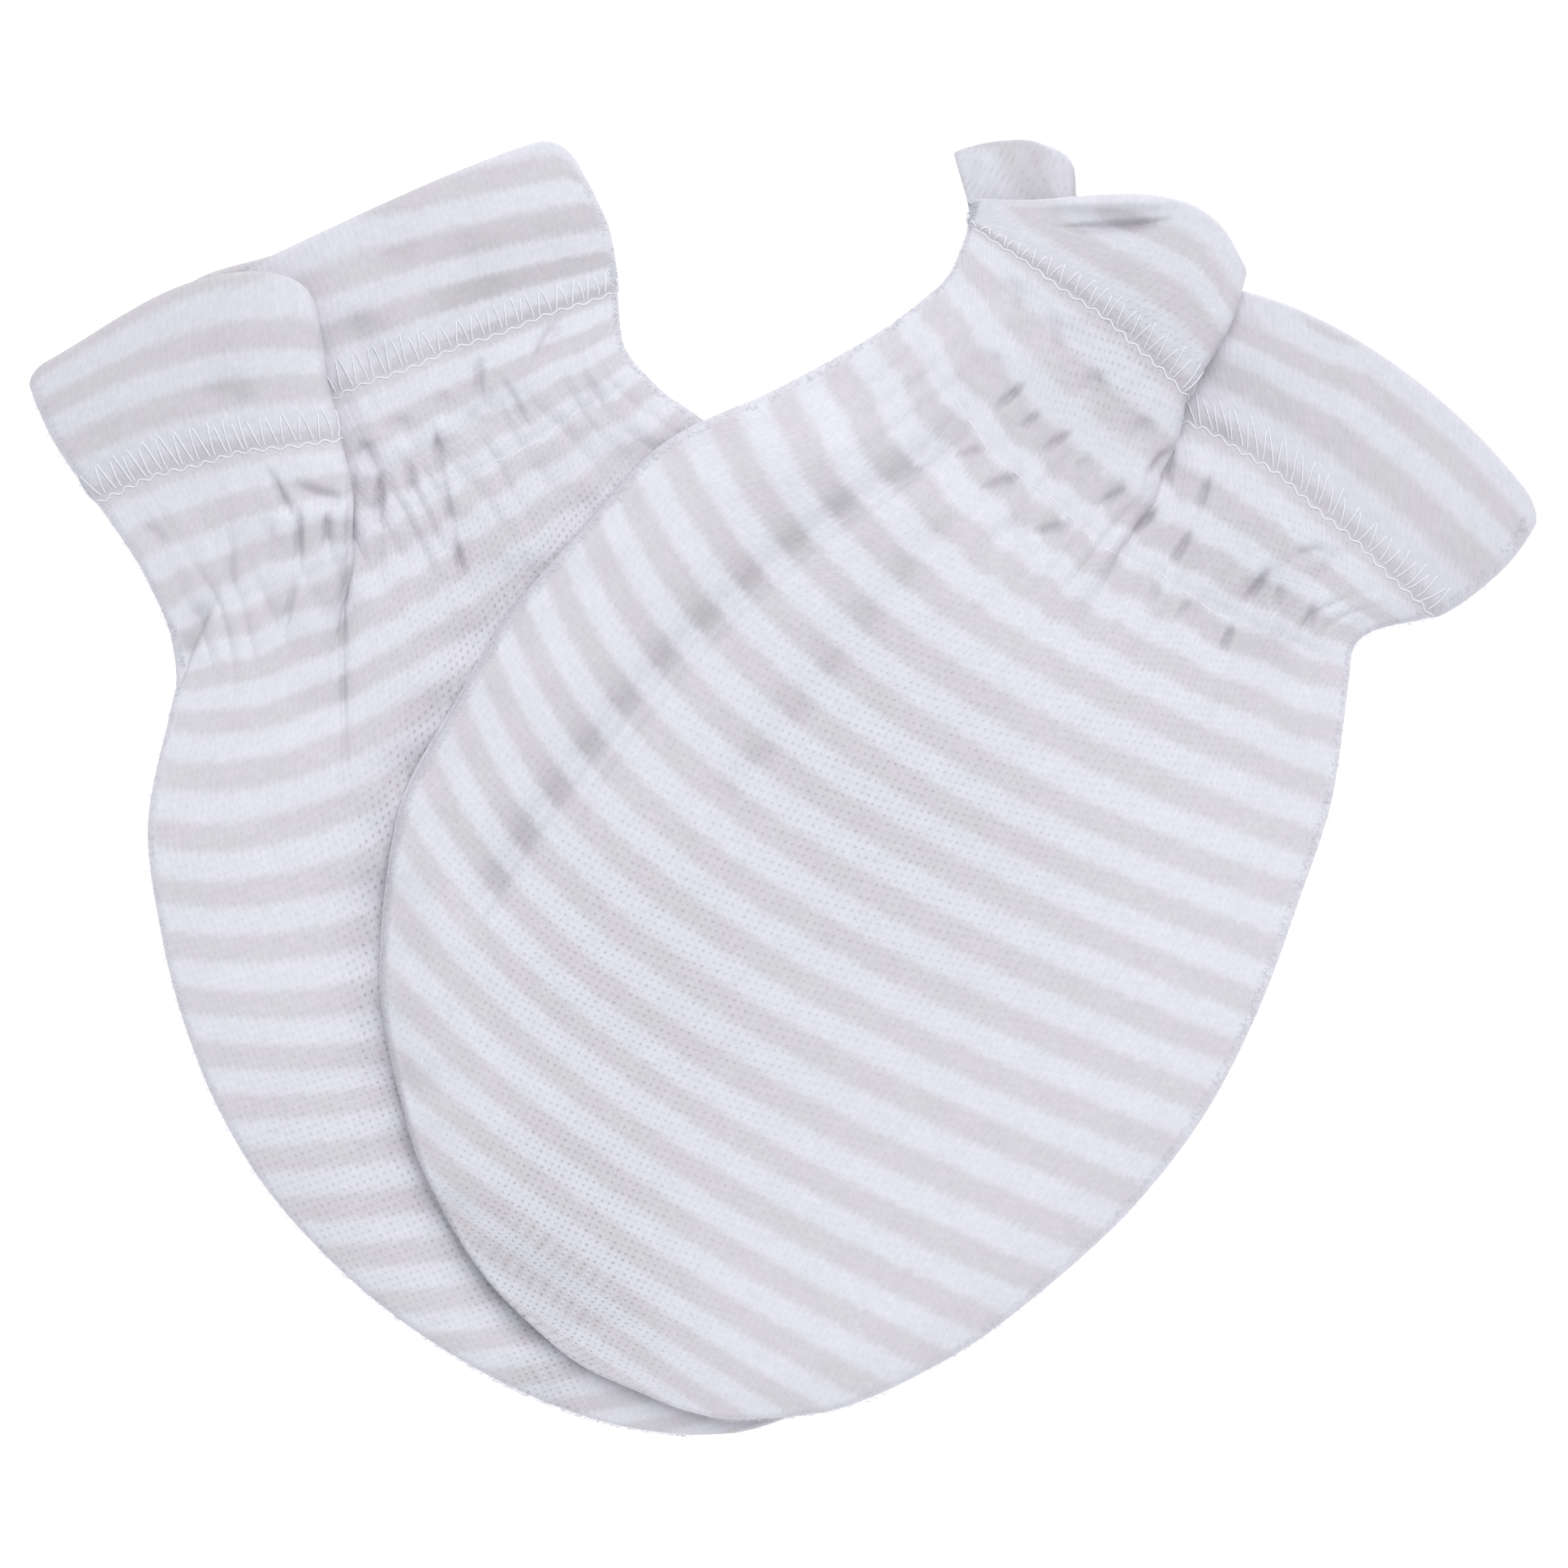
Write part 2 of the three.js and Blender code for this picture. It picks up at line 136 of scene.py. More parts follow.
# A course: its seam ends in plan, how far its middle sags towards the fingertips, and how
# far that lowest place leans to one side
COURSE_KEYS = "t lx ly rx ry sag lean"

# The pleat: its folded edge as a share of half the course, its hidden layer, its turn in
# degrees, its lift, and how far courses slide on it, under it and along the near lobe
PLEAT_KEYS = "t edge depth turn lift top under heap"

LEFT = {
    "courses": Table(COURSE_KEYS, [
        (-30, -68.5, 37.3, -20.2, 58.6, -0.8, 0.5),
        (-22.5, -66.3, 32.0, -15.9, 49.5, -2.0, 0),
        (-15, -62.3, 25.8, -15.2, 44.7, -0.6, 0),
        (-7.5, -57.9, 19.1, -14.7, 40.1, 0, 0),
        (0, -55.3, 12.9, -11.7, 36.1, 1.5, -0.4),
        (5, -54.9, 9.4, -8.0, 33.3, 2.7, -0.4),
        (10, -55.6, 6.0, -3.7, 30.4, 4.2, -0.45),
        (20, -57.5, -4.2, 5.8, 22.5, 5.0, -0.45),
        (30, -56.1, -14.4, 13.2, 13.5, 6.2, -0.3),
        (40, -53.3, -24.2, 18.3, 3.7, 8.0, -0.15),
        (50, -48.5, -34.0, 21.8, -6.6, 6.5, 0),
        (60, -41.3, -42.7, 23.5, -17.6, 6.5, 0),
        (70, -31.6, -50.5, 22.4, -29.0, 5.0, 0),
        (80, -20.2, -56.3, 16.5, -42.2, 2.5, 0),
        (85, -13.3, -58.2, 10.3, -49.9, 1.2, 0),
        (88, -8.1, -58.7, 5.1, -54.0, 0.6, 0),
        (90, -4.4, -58.5, 0.3, -57.1, 0.2, 0),
    ]),
    "pleat": Table(PLEAT_KEYS, [
        (-30, 0.04, 5.0, 180, 5.0, -2.4, 0, 1.9),
        (-22.5, -0.02, 4.5, 180, 5.0, -4.0, 0, 0.3),
        (-15, -0.075, 3.5, 180, 4.8, -3.6, 0, 0),
        (-7.5, -0.145, 1.5, 180, 4.4, -2.5, 0, 0),
        (-2, -0.262, 0, 120, 2.6, -1.2, 0, 0),
        (3, -0.4, 0, 65, 1.2, -0.5, 0, 0),
        (8, -0.47, 0, 35, 0.7, 0, 0, 0),
        (14, -0.495, 0, 15, 0.4, 0, 0, 0),
        (22, -0.51, 0, 0, 0, 0, 0, 0),
    ]),
    "swell": (0.6, 1.6),
    "ladder": 3.1,
    "lower_hem": {"lx": 0, "ly": 0, "sag": 0.1},
    "lower_ruffle": Table("c reach", [(-1, 0), (-0.6, 0.2), (-0.32, 1.2), (0, 0.1), (1, 0)]),
    "lip": 0.0,
    "elastic_seen": (0.6, 0.86),     # share of the wrist where its line of stitches shows
    "zones": (15 / 52, 26 / 52),     # share of the panel before and after the pleat
    "corner": 2.0,
    "lower_corner": 2.6,
    "fold_corner": 2.2,
    "drift": Table("c drift", [(-1, 0), (0.3, 0), (1, -0.8)]),
    "edge_drift": Table("c drift", [
        (-1, 0), (-0.2, 0.2), (0, 1.5), (0.2, 1.5), (0.35, 0), (0.6, -1.0), (1, -2.0),
    ]),
    "pale_hem": Table("c reach", [(-1, -0.6), (1, -0.6)]),
}

RIGHT = {
    "courses": Table(COURSE_KEYS, [
        (-30, 17.6, 53.1, 68.5, 24.7, -5.5, 0.1),
        (-22.5, 17.3, 52.0, 65.5, 20.3, -3.2, 0),
        (-15, 16.9, 50.7, 58.8, 15.3, -0.9, 0),
        (-7.5, 15.2, 46.3, 53.4, 14.0, 3.2, -0.2),
        (-4, 12.3, 43.5, 51.4, 12.3, 4.4, -0.15),
        (0, 9.2, 41.2, 51.0, 9.1, 5.3, -0.1),
        (10, -0.4, 35.8, 49.6, -0.9, 6.6, -0.25),
        (20, -10.7, 30.9, 46.6, -10.3, 7.5, -0.15),
        (30, -17.7, 23.6, 43.0, -20.0, 7.7, -0.25),
        (40, -24.3, 16.2, 38.6, -28.8, 8.3, -0.25),
        (50, -29.8, 7.4, 32.2, -37.4, 7.9, -0.28),
        (60, -35.1, -3.3, 23.9, -45.2, 5.8, -0.15),
        (70, -36.6, -16.9, 14.3, -52.1, 3.2, -0.1),
        (80, -33.8, -31.9, 2.5, -56.8, 1.0, 0),
        (85, -30.9, -38.5, -4.4, -57.3, 0.3, 0),
        (88, -27.6, -43.8, -8.5, -56.5, 0.2, 0),
        (90.5, -23.9, -47.7, -13.3, -54.6, 0.2, 0),
        (92, -21.6, -49.7, -16.7, -53.1, 0.3, 0),
    ]),
    "pleat": Table(PLEAT_KEYS, [
        (-30, -0.145, 5.5, 180, 5.2, 1.7, -3.6, 3.6),
        (-22.5, -0.12, 4.5, 180, 5.0, 1.5, -2.5, 2.6),
        (-18.5, -0.10, 2.5, 170, 4.6, 0.8, -2.6, 1.2),
        (-15, -0.08, 0.5, 120, 3.8, 0, -2.4, 0.6),
        (-11, 0.0, 0, 80, 2.8, 0, -1.2, 0),
        (-6, 0.09, 0, 60, 1.8, 0, -0.4, 0),
        (0, 0.12, 0, 35, 1.0, 0, 0, 0),
        (8, 0.12, 0, 0, 0, 0, 0, 0),
    ]),
    "swell": (1.0, 1.8),
    "ladder": 2.6,
    "lower_hem": {"lx": -2.2, "ly": 4.3, "sag": 4.5},
    "lower_ruffle": Table("c reach", [
        (-1, 0), (-0.9, 2.7), (-0.8, 4.3), (-0.72, 4.6), (-0.67, 3.9), (-0.62, 1.6),
        (-0.55, 0.3), (1, 0),
    ]),
    "lip": 0.45,
    "elastic_seen": (0.17, 0.75),
    "zones": (24 / 52, 35 / 52),
    "corner": 2.2,
    "lower_corner": 1.4,
    "fold_corner": 0.7,
    "drift": Table("c drift", [
        (-1, 11), (-0.75, 5), (-0.55, -0.5), (-0.45, -1.0), (0.1, -0.8), (0.35, 1.2), (1, 1.2),
    ]),
    "edge_drift": Table("c drift", [(-1, 0), (-0.7, 2.8), (-0.1, 2.8), (0.2, 0), (1, 0)]),
    "pale_hem": Table("c reach", [(-1, 0.5), (-0.9, 2.6), (-0.4, 3.1), (-0.25, 0.4), (1, 0.4)]),
}

# Creases of the upper panels: both ends, the bow to the right of the line between them, the
# reach of the right and of the left bank, and the depth. A minus depth is a ridge.
CREASE_KEYS = "x1 y1 x2 y2 bow right left depth"
LEFT["creases"] = Table(CREASE_KEYS, [
    # Soft troughs and folds
    (-42.0, 10.5, -42.6, 1.0, 0, 1.6, 1.6, 0.45),
    (-36.0, -28.0, -21.0, -53.0, -1, 2.6, 3.5, 0.45),
    (-29.0, 7.0, -35.0, -2.0, 0, 2.2, 2.2, 0.45),
    (-33.8, -1.0, -36.8, -15.6, 0, 2, 2, 0.55),
    (-53.8, 35.2, -46.8, 34.9, 0, 1.6, 1.6, 0.65),
    (-39.0, 43.5, -37.8, 36.0, 0, 1.2, 2.2, 0.85),
    (-50.2, 18.6, -55.2, 7.0, 0.6, 1.3, 0.34, 1.15),
    (-58.6, 23.6, -55.0, 21.2, 0, 1, 1, 0.55),
    (-46.6, 24.5, -46.6, 18.0, 0, 0.9, 0.9, 0.55),
    (-33.4, 23.6, -32.2, 18.5, 0, 1.2, 1.2, 0.45),
    (-26.0, 36.0, -28.6, 31.0, 0, 0.9, 0.9, 0.65),
    (-34.8, 33.6, -34.2, 30.4, 0, 0.9, 0.9, 0.55),
    (-22.8, 29.5, -20.8, 25.5, 0, 0.8, 0.8, 0.45),
    (-17.6, 37.0, -16.4, 32.4, 0, 0.7, 0.7, 0.55),
    (-30.5, 51.0, -26.5, 43.0, 0, 2.0, 1.6, 0.5),
    (-21.5, 50.5, -19.0, 42.5, 0, 1.6, 1.6, 0.3),
    # Gathers of the left lobe
    (-46.8, 29.2, -43.9, 23.2, 0.1, 0.36, 0.36, 0.95),
    (-50.1, 25.0, -50.1, 14.9, 0, 0.3, 0.7, 0.5),
    (-43.8, 25.4, -43.8, 19.0, 0, 0.32, 0.36, 1.3),
    (-43.9, 19.6, -45.3, 13.1, 0, 0.32, 0.32, 0.7),
    (-41.2, 25.2, -41.2, 20.2, 0, 0.32, 0.36, 1.1),
    (-44.6, 27.2, -38.9, 25.6, 0.5, 0.8, 0.7, 1.3),
    # The crease that runs on from the pleat
    (-38.8, 29.9, -39.6, 18.9, 0, 0.28, 0.3, 0.45),
    (-39.1, 24.2, -40.1, 12.2, 0, 0.28, 0.3, 0.4),
    (-39.9, 18.8, -39.9, 4.6, 0, 0.28, 0.3, 0.5),
    (-39.9, 10.8, -39.6, -1.2, 0, 0.3, 0.35, 0.4),
    (-39.7, 3.0, -39.0, -5.5, 0, 0.5, 0.6, 0.3),
    (-38.4, 31.4, -37.0, 27.8, 0, 0.7, 0.8, 0.7),
    # Gathers of the right lobe
    (-36.5, 28.6, -36.8, 22.8, 0, 0.32, 0.38, 1.3),
    (-36.6, 24.4, -36.6, 18.0, 0, 0.45, 0.5, 0.5),
    (-33.7, 29.7, -33.7, 25.4, 0, 0.4, 0.45, 0.7),
    (-31.5, 32.4, -31.0, 27.2, 0, 0.3, 0.34, 0.9),
    (-31.1, 29.6, -30.1, 23.4, 0, 0.26, 0.3, 0.5),
    (-30.8, 27.6, -28.7, 17.0, 0.1, 0.24, 0.3, 0.5),
    (-29.9, 22.6, -28.8, 18.4, 0, 0.28, 0.28, 0.6),
    (-27.6, 39.2, -27.5, 34.0, 0, 0.34, 0.38, 0.8),
    (-30.8, 36.0, -30.8, 32.0, 0, 0.5, 0.6, 0.6),
    (-25.6, 36.9, -22.9, 31.7, 0, 0.4, 0.45, 0.8),
    (-20.0, 42.5, -22.9, 37.3, 0, 0.5, 0.5, 0.8),
])

RIGHT["creases"] = Table(CREASE_KEYS, [
    # Soft troughs and folds
    (17.0, 32.0, -29.0, -14.5, 4.7, 1.4, 0.6, 0.8),
    (17.0, 32.0, -29.0, -14.5, 4.7, 4.5, 1.4, 0.8),
    (14.0, 29.0, -20.0, -5.5, 3.4, 0.3, 0.3, 0.4),
    (16.0, 25.5, -6.5, -3.0, 0, 2, 1.2, 0.4),
    (24.0, 50.2, 35.8, 51.0, 0.2, 0.6, 0.26, 1.3),
    (23.0, 52.2, 36.5, 52.4, 0, 0.8, 0.9, -0.9),
    (24.0, 43.0, 23.8, 38.0, 0, 1, 1.4, 0.75),
    (20.8, 46.0, 20.2, 41.6, 0, 1, 1, 0.65),
    (19.6, 39.2, 17.5, 36.0, 0, 0.9, 0.9, 0.75),
    (17.0, 33.0, 14.4, 30.8, 0, 0.9, 0.9, 0.65),
    (28.9, 37.4, 26.3, 34.6, 0, 0.9, 0.9, 0.75),
    (33.3, 33.3, 31.0, 30.3, 0, 0.9, 0.9, 0.75),
    (22.0, 24.0, 17.5, 21.0, 0, 1, 1, 0.45),
    (40.0, 33.0, 37.5, 28.5, 0, 1.2, 1.2, 0.55),
    (51.5, 22.0, 47.0, 17.0, 0, 1, 1, 0.45),
    (45.5, 22.5, 41.5, 14.0, 0, 1, 1, 0.4),
    # Gathers of the left lobe
    (18.6, 33.5, 22.1, 36.4, 0, 0.28, 0.32, 1.0),
    (20.8, 31.8, 23.5, 33.7, 0, 0.26, 0.3, 0.7),
    (22.7, 29.7, 26.5, 32.1, 0, 0.24, 0.28, 0.8),
    (27.6, 30.0, 26.2, 27.9, 0, 0.4, 0.4, 0.4),
    (15.0, 29.3, 18.8, 30.4, 0, 0.3, 0.34, 0.6),
    (17.2, 26.5, 21.8, 28.0, 0, 0.26, 0.3, 0.9),
    (21.7, 22.4, 26.8, 23.7, 0, 0.26, 0.3, 0.9),
    # Gathers near the pleat
    (28.2, 25.1, 31.2, 26.9, 0, 0.24, 0.28, 0.8),
    (31.0, 22.6, 34.3, 25.1, 0, 0.28, 0.32, 0.9),
    (32.4, 27.2, 35.4, 30.6, 0, 0.8, 0.6, 0.9),
    (34.0, 29.6, 35.0, 26.4, 0, 0.6, 0.6, 0.6),
    # Gathers of the right lobe
    (38.6, 28.4, 37.0, 23.9, 0, 0.28, 0.32, 1.0),
    (37.1, 23.4, 34.7, 19.1, 0, 0.28, 0.32, 1.0),
    (44.1, 19.7, 41.2, 15.9, 0, 0.28, 0.32, 1.0),
    (45.1, 18.4, 44.2, 15.5, 0, 0.4, 0.4, 0.6),
    (40.8, 14.8, 39.3, 11.4, 0, 0.28, 0.3, 0.9),
    (47.8, 17.1, 47.3, 13.3, 0, 0.4, 0.4, 0.6),
    (37.0, 16.8, 35.2, 14.5, 0, 0.4, 0.4, 0.6),
    (34.1, 18.5, 32.7, 16.0, 0, 0.4, 0.4, 0.5),
    (45.6, 20.6, 49.4, 21.2, 0, 0.7, 0.5, 0.6),
])

# Painted shade where the cloth is drawn together in and beside the troughs, and in soft
# patches; it darkens the grey stripes most.
LEFT["pinched"] = Table(CREASE_KEYS, [
    (-34.0, 42.5, -12.0, 51.0, 0, 6.0, 4.0, 0.7),
    (-55.0, 36.4, -46.0, 36.0, 0, 2.6, 2.6, 0.4),
    (-54.0, 31.0, -49.5, 31.6, 0, 1.6, 1.6, 0.5),
    (-40.0, 44.5, -37.0, 37.5, 0, 2.4, 2.0, 0.5),
    (-31.5, 45.8, -23.5, 45.2, 0, 2.4, 2.4, 0.4),
    (-37.5, 49.0, -32.0, 48.8, 0, 1.8, 1.8, 0.7),
    (-38.4, 31.4, -37.0, 27.6, 0, 0.8, 0.8, 1.2),
    (-39.6, 24.0, -39.9, 4.0, 0, 0.8, 0.8, 0.6),
    (-30.4, 27.0, -28.9, 17.0, 0, 0.7, 0.7, 0.6),
])
RIGHT["pinched"] = Table(CREASE_KEYS, [
    (12.0, 37.0, 50.0, 13.0, 0, 6.0, 6.0, 0.4),
    (17.0, 32.0, -27.5, -12.0, 4.5, 2.4, 0.6, 1.1),
    (16.0, 25.5, -6.5, -3.0, 0, 1.8, 1.0, 0.7),
])

# Where the knit is stretched open: centre, radius and how much.
STRETCHED_KEYS = "x y radius share"
LEFT["stretched"] = Table(STRETCHED_KEYS, [
    (-20.0, 14.0, 16.0, 0.8),
    (-30.0, -8.0, 12.0, 0.8),
    (-48.0, -10.0, 12.0, 0.2),
    (-36.0, -36.0, 16.0, 0.7),
    (-30.0, 30.0, 8.0, 0.3),
])
RIGHT["stretched"] = Table(STRETCHED_KEYS, [
    (-20.0, -37.0, 12.0, 1.0),
    (-21.5, -45.0, 11.0, 1.6),
    (-14.0, -18.0, 20.0, 0.8),
    (8.0, -2.0, 20.0, 0.7),
    (30.0, 6.0, 14.0, 0.4),
    (30.0, 38.0, 7.0, 0.7),
    (45.0, 20.0, 10.0, 0.35),
])


def smooth(a, b, x):
    """0 at a, 1 at b, with soft ends."""
    f = np.clip((x - a) / (b - a), 0, 1)
    return f * f * (3 - 2 * f)


def mix(a, b, f):
    return a + (b - a) * f


def quarter(x):
    """A quarter circle's rise, from 0 at 0 to 1 at 1."""
    return np.sqrt(1 - (1 - np.clip(x, 0, 1)) ** 2)


def bell(x):
    """1 at 0, fading evenly on both sides."""
    return np.exp(-(x**2))


def unit(vectors):
    """The same vectors, each 1 long."""
    return vectors / np.maximum(np.linalg.norm(vectors, axis=-1, keepdims=True), 1e-9)


def last_course(mitten):
    return mitten["courses"].rows[-1, 0]


def edge_curve(mitten, side, first):
    """One seam as x at a given y, as a table that runs up in y."""
    rows = mitten["courses"]
    keep = rows.column("t") >= first
    y = rows.column(side + "y")[keep][::-1]
    x = rows.column(side + "x")[keep][::-1]
    rising = np.concatenate([[True], np.diff(np.maximum.accumulate(y)) > 0])
    return Table("y x", np.stack([y[rising], x[rising]], 1))


LEFT_OUTER = edge_curve(LEFT, "r", 0)
RIGHT_SEAM = edge_curve(RIGHT, "l", -30)


def from_right_mitten(x, y):
    """How far a place is inside the right mitten's left seam, in mm; outside is minus."""
    step = 0.5
    seam = RIGHT_SEAM.read("x", y)
    slope = (RIGHT_SEAM.read("x", y + step) - RIGHT_SEAM.read("x", y - step)) / (2 * step)
    return (x - seam) / np.hypot(1, slope)


def press(x, y):
    """How far the right mitten's edge presses the cloth down along its left seam."""
    uneven = 1 + 0.25 * np.sin(0.45 * y + 1.0) + 0.15 * np.sin(1.1 * y)
    beside = bell(from_right_mitten(x, y) / PRESS_REACH)
    return PRESS_DEPTH * uneven * beside * smooth(42, 34, y) * smooth(-52, -46, y)


def ground(mitten, x, y):
    """What the underside of a mitten lies on: the surface, or the left mitten."""
    if mitten is LEFT:
        return np.zeros_like(x)
    kept_past_edge = 1.5
    past = x - LEFT_OUTER.read("x", y) - kept_past_edge
    return (LEFT_TOP - press(x, y)) * (1 - smooth(0, OVERLAP_RAMP, past))


def seam_drop(below):
    """How much lower a seam lies where the cloth below it is soft."""
    return SEAM_DROP * smooth(1.0, 2.0, below)


def course(mitten, t):
    """Plan of one course: seam ends, half length, and the way to the fingertips."""
    line = {key: mitten["courses"].read(key, t) for key in COURSE_KEYS.split()[1:]}
    across, up = line["rx"] - line["lx"], line["ry"] - line["ly"]
    line["half"] = np.hypot(across, up) / 2
    line["tip"] = (up / (2 * line["half"]), -across / (2 * line["half"]))
    return line


def plan_point(line, c, slide):
    """Where c on a course lies in plan, slid towards the frill's edge."""
    warped = (c - line["lean"]) / (1 - line["lean"] * c)
    sag = line["sag"] * (1 - warped**2) - slide
    x = mix(line["lx"], line["rx"], (c + 1) / 2) + line["tip"][0] * sag
    y = mix(line["ly"], line["ry"], (c + 1) / 2) + line["tip"][1] * sag
    return x, y


def pleat_path(turn, depth, f):
    """One fold of a pleat seen along the cloth: bend over, hidden layer, bend back."""
    angle = np.maximum(1e-4, np.radians(turn))
    radius = BEND_LENGTH / angle
    bend = BEND_LENGTH / (2 * BEND_LENGTH + depth)
    first = np.minimum(f / bend, 1)
    middle = np.clip((f - bend) / np.maximum(1 - 2 * bend, 1e-9), 0, 1)
    last = np.maximum((f - 1 + bend) / bend, 0)
    back = angle * (1 - last)
    past = last > 0
    x = radius * np.sin(angle * first) + depth * middle * np.cos(angle)
    z = -radius * (1 - np.cos(angle * first)) - depth * middle * np.sin(angle)
    x = x + radius * (np.sin(angle) - np.sin(back)) * past
    z = z - radius * (np.cos(back) - np.cos(angle)) * past
    return x, z


def upper_column(mitten, half, q, t):
    """Where column q of an upper panel lies at t: its c, its height and its slide.

    The near lobe runs up to the fold, which turns under it, and the far lobe runs on.
    """
    turn, depth, lift, edge, top, under, heap = (
        mitten["pleat"].read(key, t) for key in "turn depth lift edge top under heap".split()
    )
    qa, qb = mitten["zones"]
    frill = 1 - smooth(-14, 2, t)
    reach = pleat_path(np.minimum(turn, 90), 0, 0.5)[0]
    start = edge * half - np.where(turn > 1, reach, BEND_LENGTH)
    end_x, end_z = pleat_path(turn, depth, 1.0)
    ca, cb = start / half, (start + end_x) / half

    f = np.clip(q / qa, 0, 1)
    left_c = mix(-1, ca, f)
    left_up = lift * smooth(0, 1, f) + mitten["swell"][0] * frill * 4 * f * (1 - f)
    left_slide = top * f**2 + heap * HUMP * f**2 * (1 - f)

    f = np.clip((q - qb) / (1 - qb), 0, 1)
    right_c = mix(cb, 1, f)
    rest = np.maximum(0, lift + end_z)
    right_up = rest * (1 - smooth(0, 1, f)) + mitten["swell"][1] * frill * 4 * f * (1 - f)
    right_slide = under * (1 - f) ** 6

    f = np.clip((q - qa) / (qb - qa), 0, 1)
    bend_x, bend_z = pleat_path(turn, depth, f)
    fold_c = (start + bend_x) / half
    fold_up = lift + np.maximum(bend_z, -lift)
    slope = (2 * top - HUMP * heap) / (half + start)
    hidden = smooth(0.3, 0.95, f)
    fold_slide = mix(top, under, hidden) + slope * np.maximum(bend_x, 0) * (1 - hidden)

    def pick(left, fold, right):
        return np.where(q <= qa, left, np.where(q >= qb, right, fold))

    return (
        pick(left_c, fold_c, right_c),
        pick(left_up, fold_up, right_up),
        pick(left_slide, fold_slide, right_slide),
    )


def round_corners(radius, reach, t, seam):
    """t moved in from the hem's edge near the seams, which rounds the hem's corners."""
    share = 1 - smooth(FRILL_EDGE, FRILL_EDGE + 4 * radius, t)
    return t + share * radius * (1 - quarter(seam / reach))


def lip_width(mitten, t):
    """How far the lower panel's seam roll looks out beyond the upper panel's left seam."""
    return mitten["lip"] * smooth(25, 60, t)


def side_distance(line, c):
    """How far a place is from the nearer side seam, in mm."""
    return line["half"] * (1 - np.abs(np.clip(c, -1, 1)))


def seam_distance(mitten, line, c, t):
    """How far a place is from the seams, round the fingertips too."""
    return np.minimum(side_distance(line, c), TIP_SLOPE * (last_course(mitten) - t))


def edge_rounding(t, seam):
    """The share of its thickness that the cloth has near the frill's edge and the seams."""
    return quarter((t - FRILL_EDGE) / EDGE_ROLL) * quarter((seam + SEAM_LEAST) / RIM_ROLL)


def cloth_thickness(t):
    """Two layers in the turned hem, one in the hand."""
    return mix(HEM_CLOTH, CLOTH, smooth(HEM_LINE - 0.6, HEM_LINE + 0.4, t))


def upper_base(mitten, q, t):
    """Middle of an upper panel without its creases, and what its relief needs."""
    line = course(mitten, t)
    c = upper_column(mitten, line["half"], q, t)[0]
    corner = mitten["corner"]
    t = round_corners(corner, corner, t, side_distance(line, c))
    qa, qb = mitten["zones"]
    bend = 0.12 * (qb - qa)
    fold = np.maximum(qa + bend - q, q - qb) * 2 * line["half"]
    corner = mitten["fold_corner"]
    t = round_corners(corner, 1.4 * corner, t, np.maximum(fold, 0))
    line = course(mitten, t)
    c, up, slide = upper_column(mitten, line["half"], q, t)
    inset = lip_width(mitten, t)
    line["lx"] = line["lx"] - line["tip"][1] * inset
    line["ly"] = line["ly"] + line["tip"][0] * inset
    x, y = plan_point(line, c, slide)
    seam = seam_distance(mitten, line, c, t)
    crown = CROWN_HEIGHT * np.sqrt(smooth(0, CROWN_REACH, seam)) * smooth(92, 78, t)
    below = ground(mitten, x, y)
    edge = mix(SEAM_MIDDLE - seam_drop(below), UPPER_MIDDLE, quarter(seam / SEAM_ROLL))
    z = below + edge + crown + up
    if mitten is LEFT:
        z = z - press(x, y)
    return np.stack([x, y, z], -1), c, seam


def crease_depth(rows, x, y):
    """How deep the creases are at each place: full along the middle, fading at both ends."""
    sharp = 0.65
    soft_reach = 2.2
    total = np.zeros_like(x)
    for x1, y1, x2, y2, bow, right, left, depth in rows:
        length = math.hypot(x2 - x1, y2 - y1)
        along = ((x - x1) * (x2 - x1) + (y - y1) * (y2 - y1)) / length**2
        side = ((x - x1) * (y2 - y1) - (y - y1) * (x2 - x1)) / length
        fade = min(0.4, CREASE_FADE / length)
        taper = smooth(0, fade, along) * smooth(1, 1 - fade, along)
        side = side - bow * 4 * along * (1 - along)
        off = side / (np.where(side > 0, right, left) * (0.5 + 0.5 * taper))
        banks = np.exp(-np.abs(off) / soft_reach)
        total += depth * taper * mix(banks, bell(off), sharp)
    return total


def painted_shade_amount(mitten, x, y):
    """How much painted shade darkens the cloth: in the troughs, and most in the narrow creases.
    """
    rows = mitten["creases"].rows
    narrow = rows[np.minimum(rows[:, 5], rows[:, 6]) < NARROW_CREASE]
    total = crease_depth(mitten["pinched"].rows, x, y)
    return np.clip(total + NARROW_CREASE_SHADE * crease_depth(narrow, x, y), 0, MOST_PAINTED_SHADE)


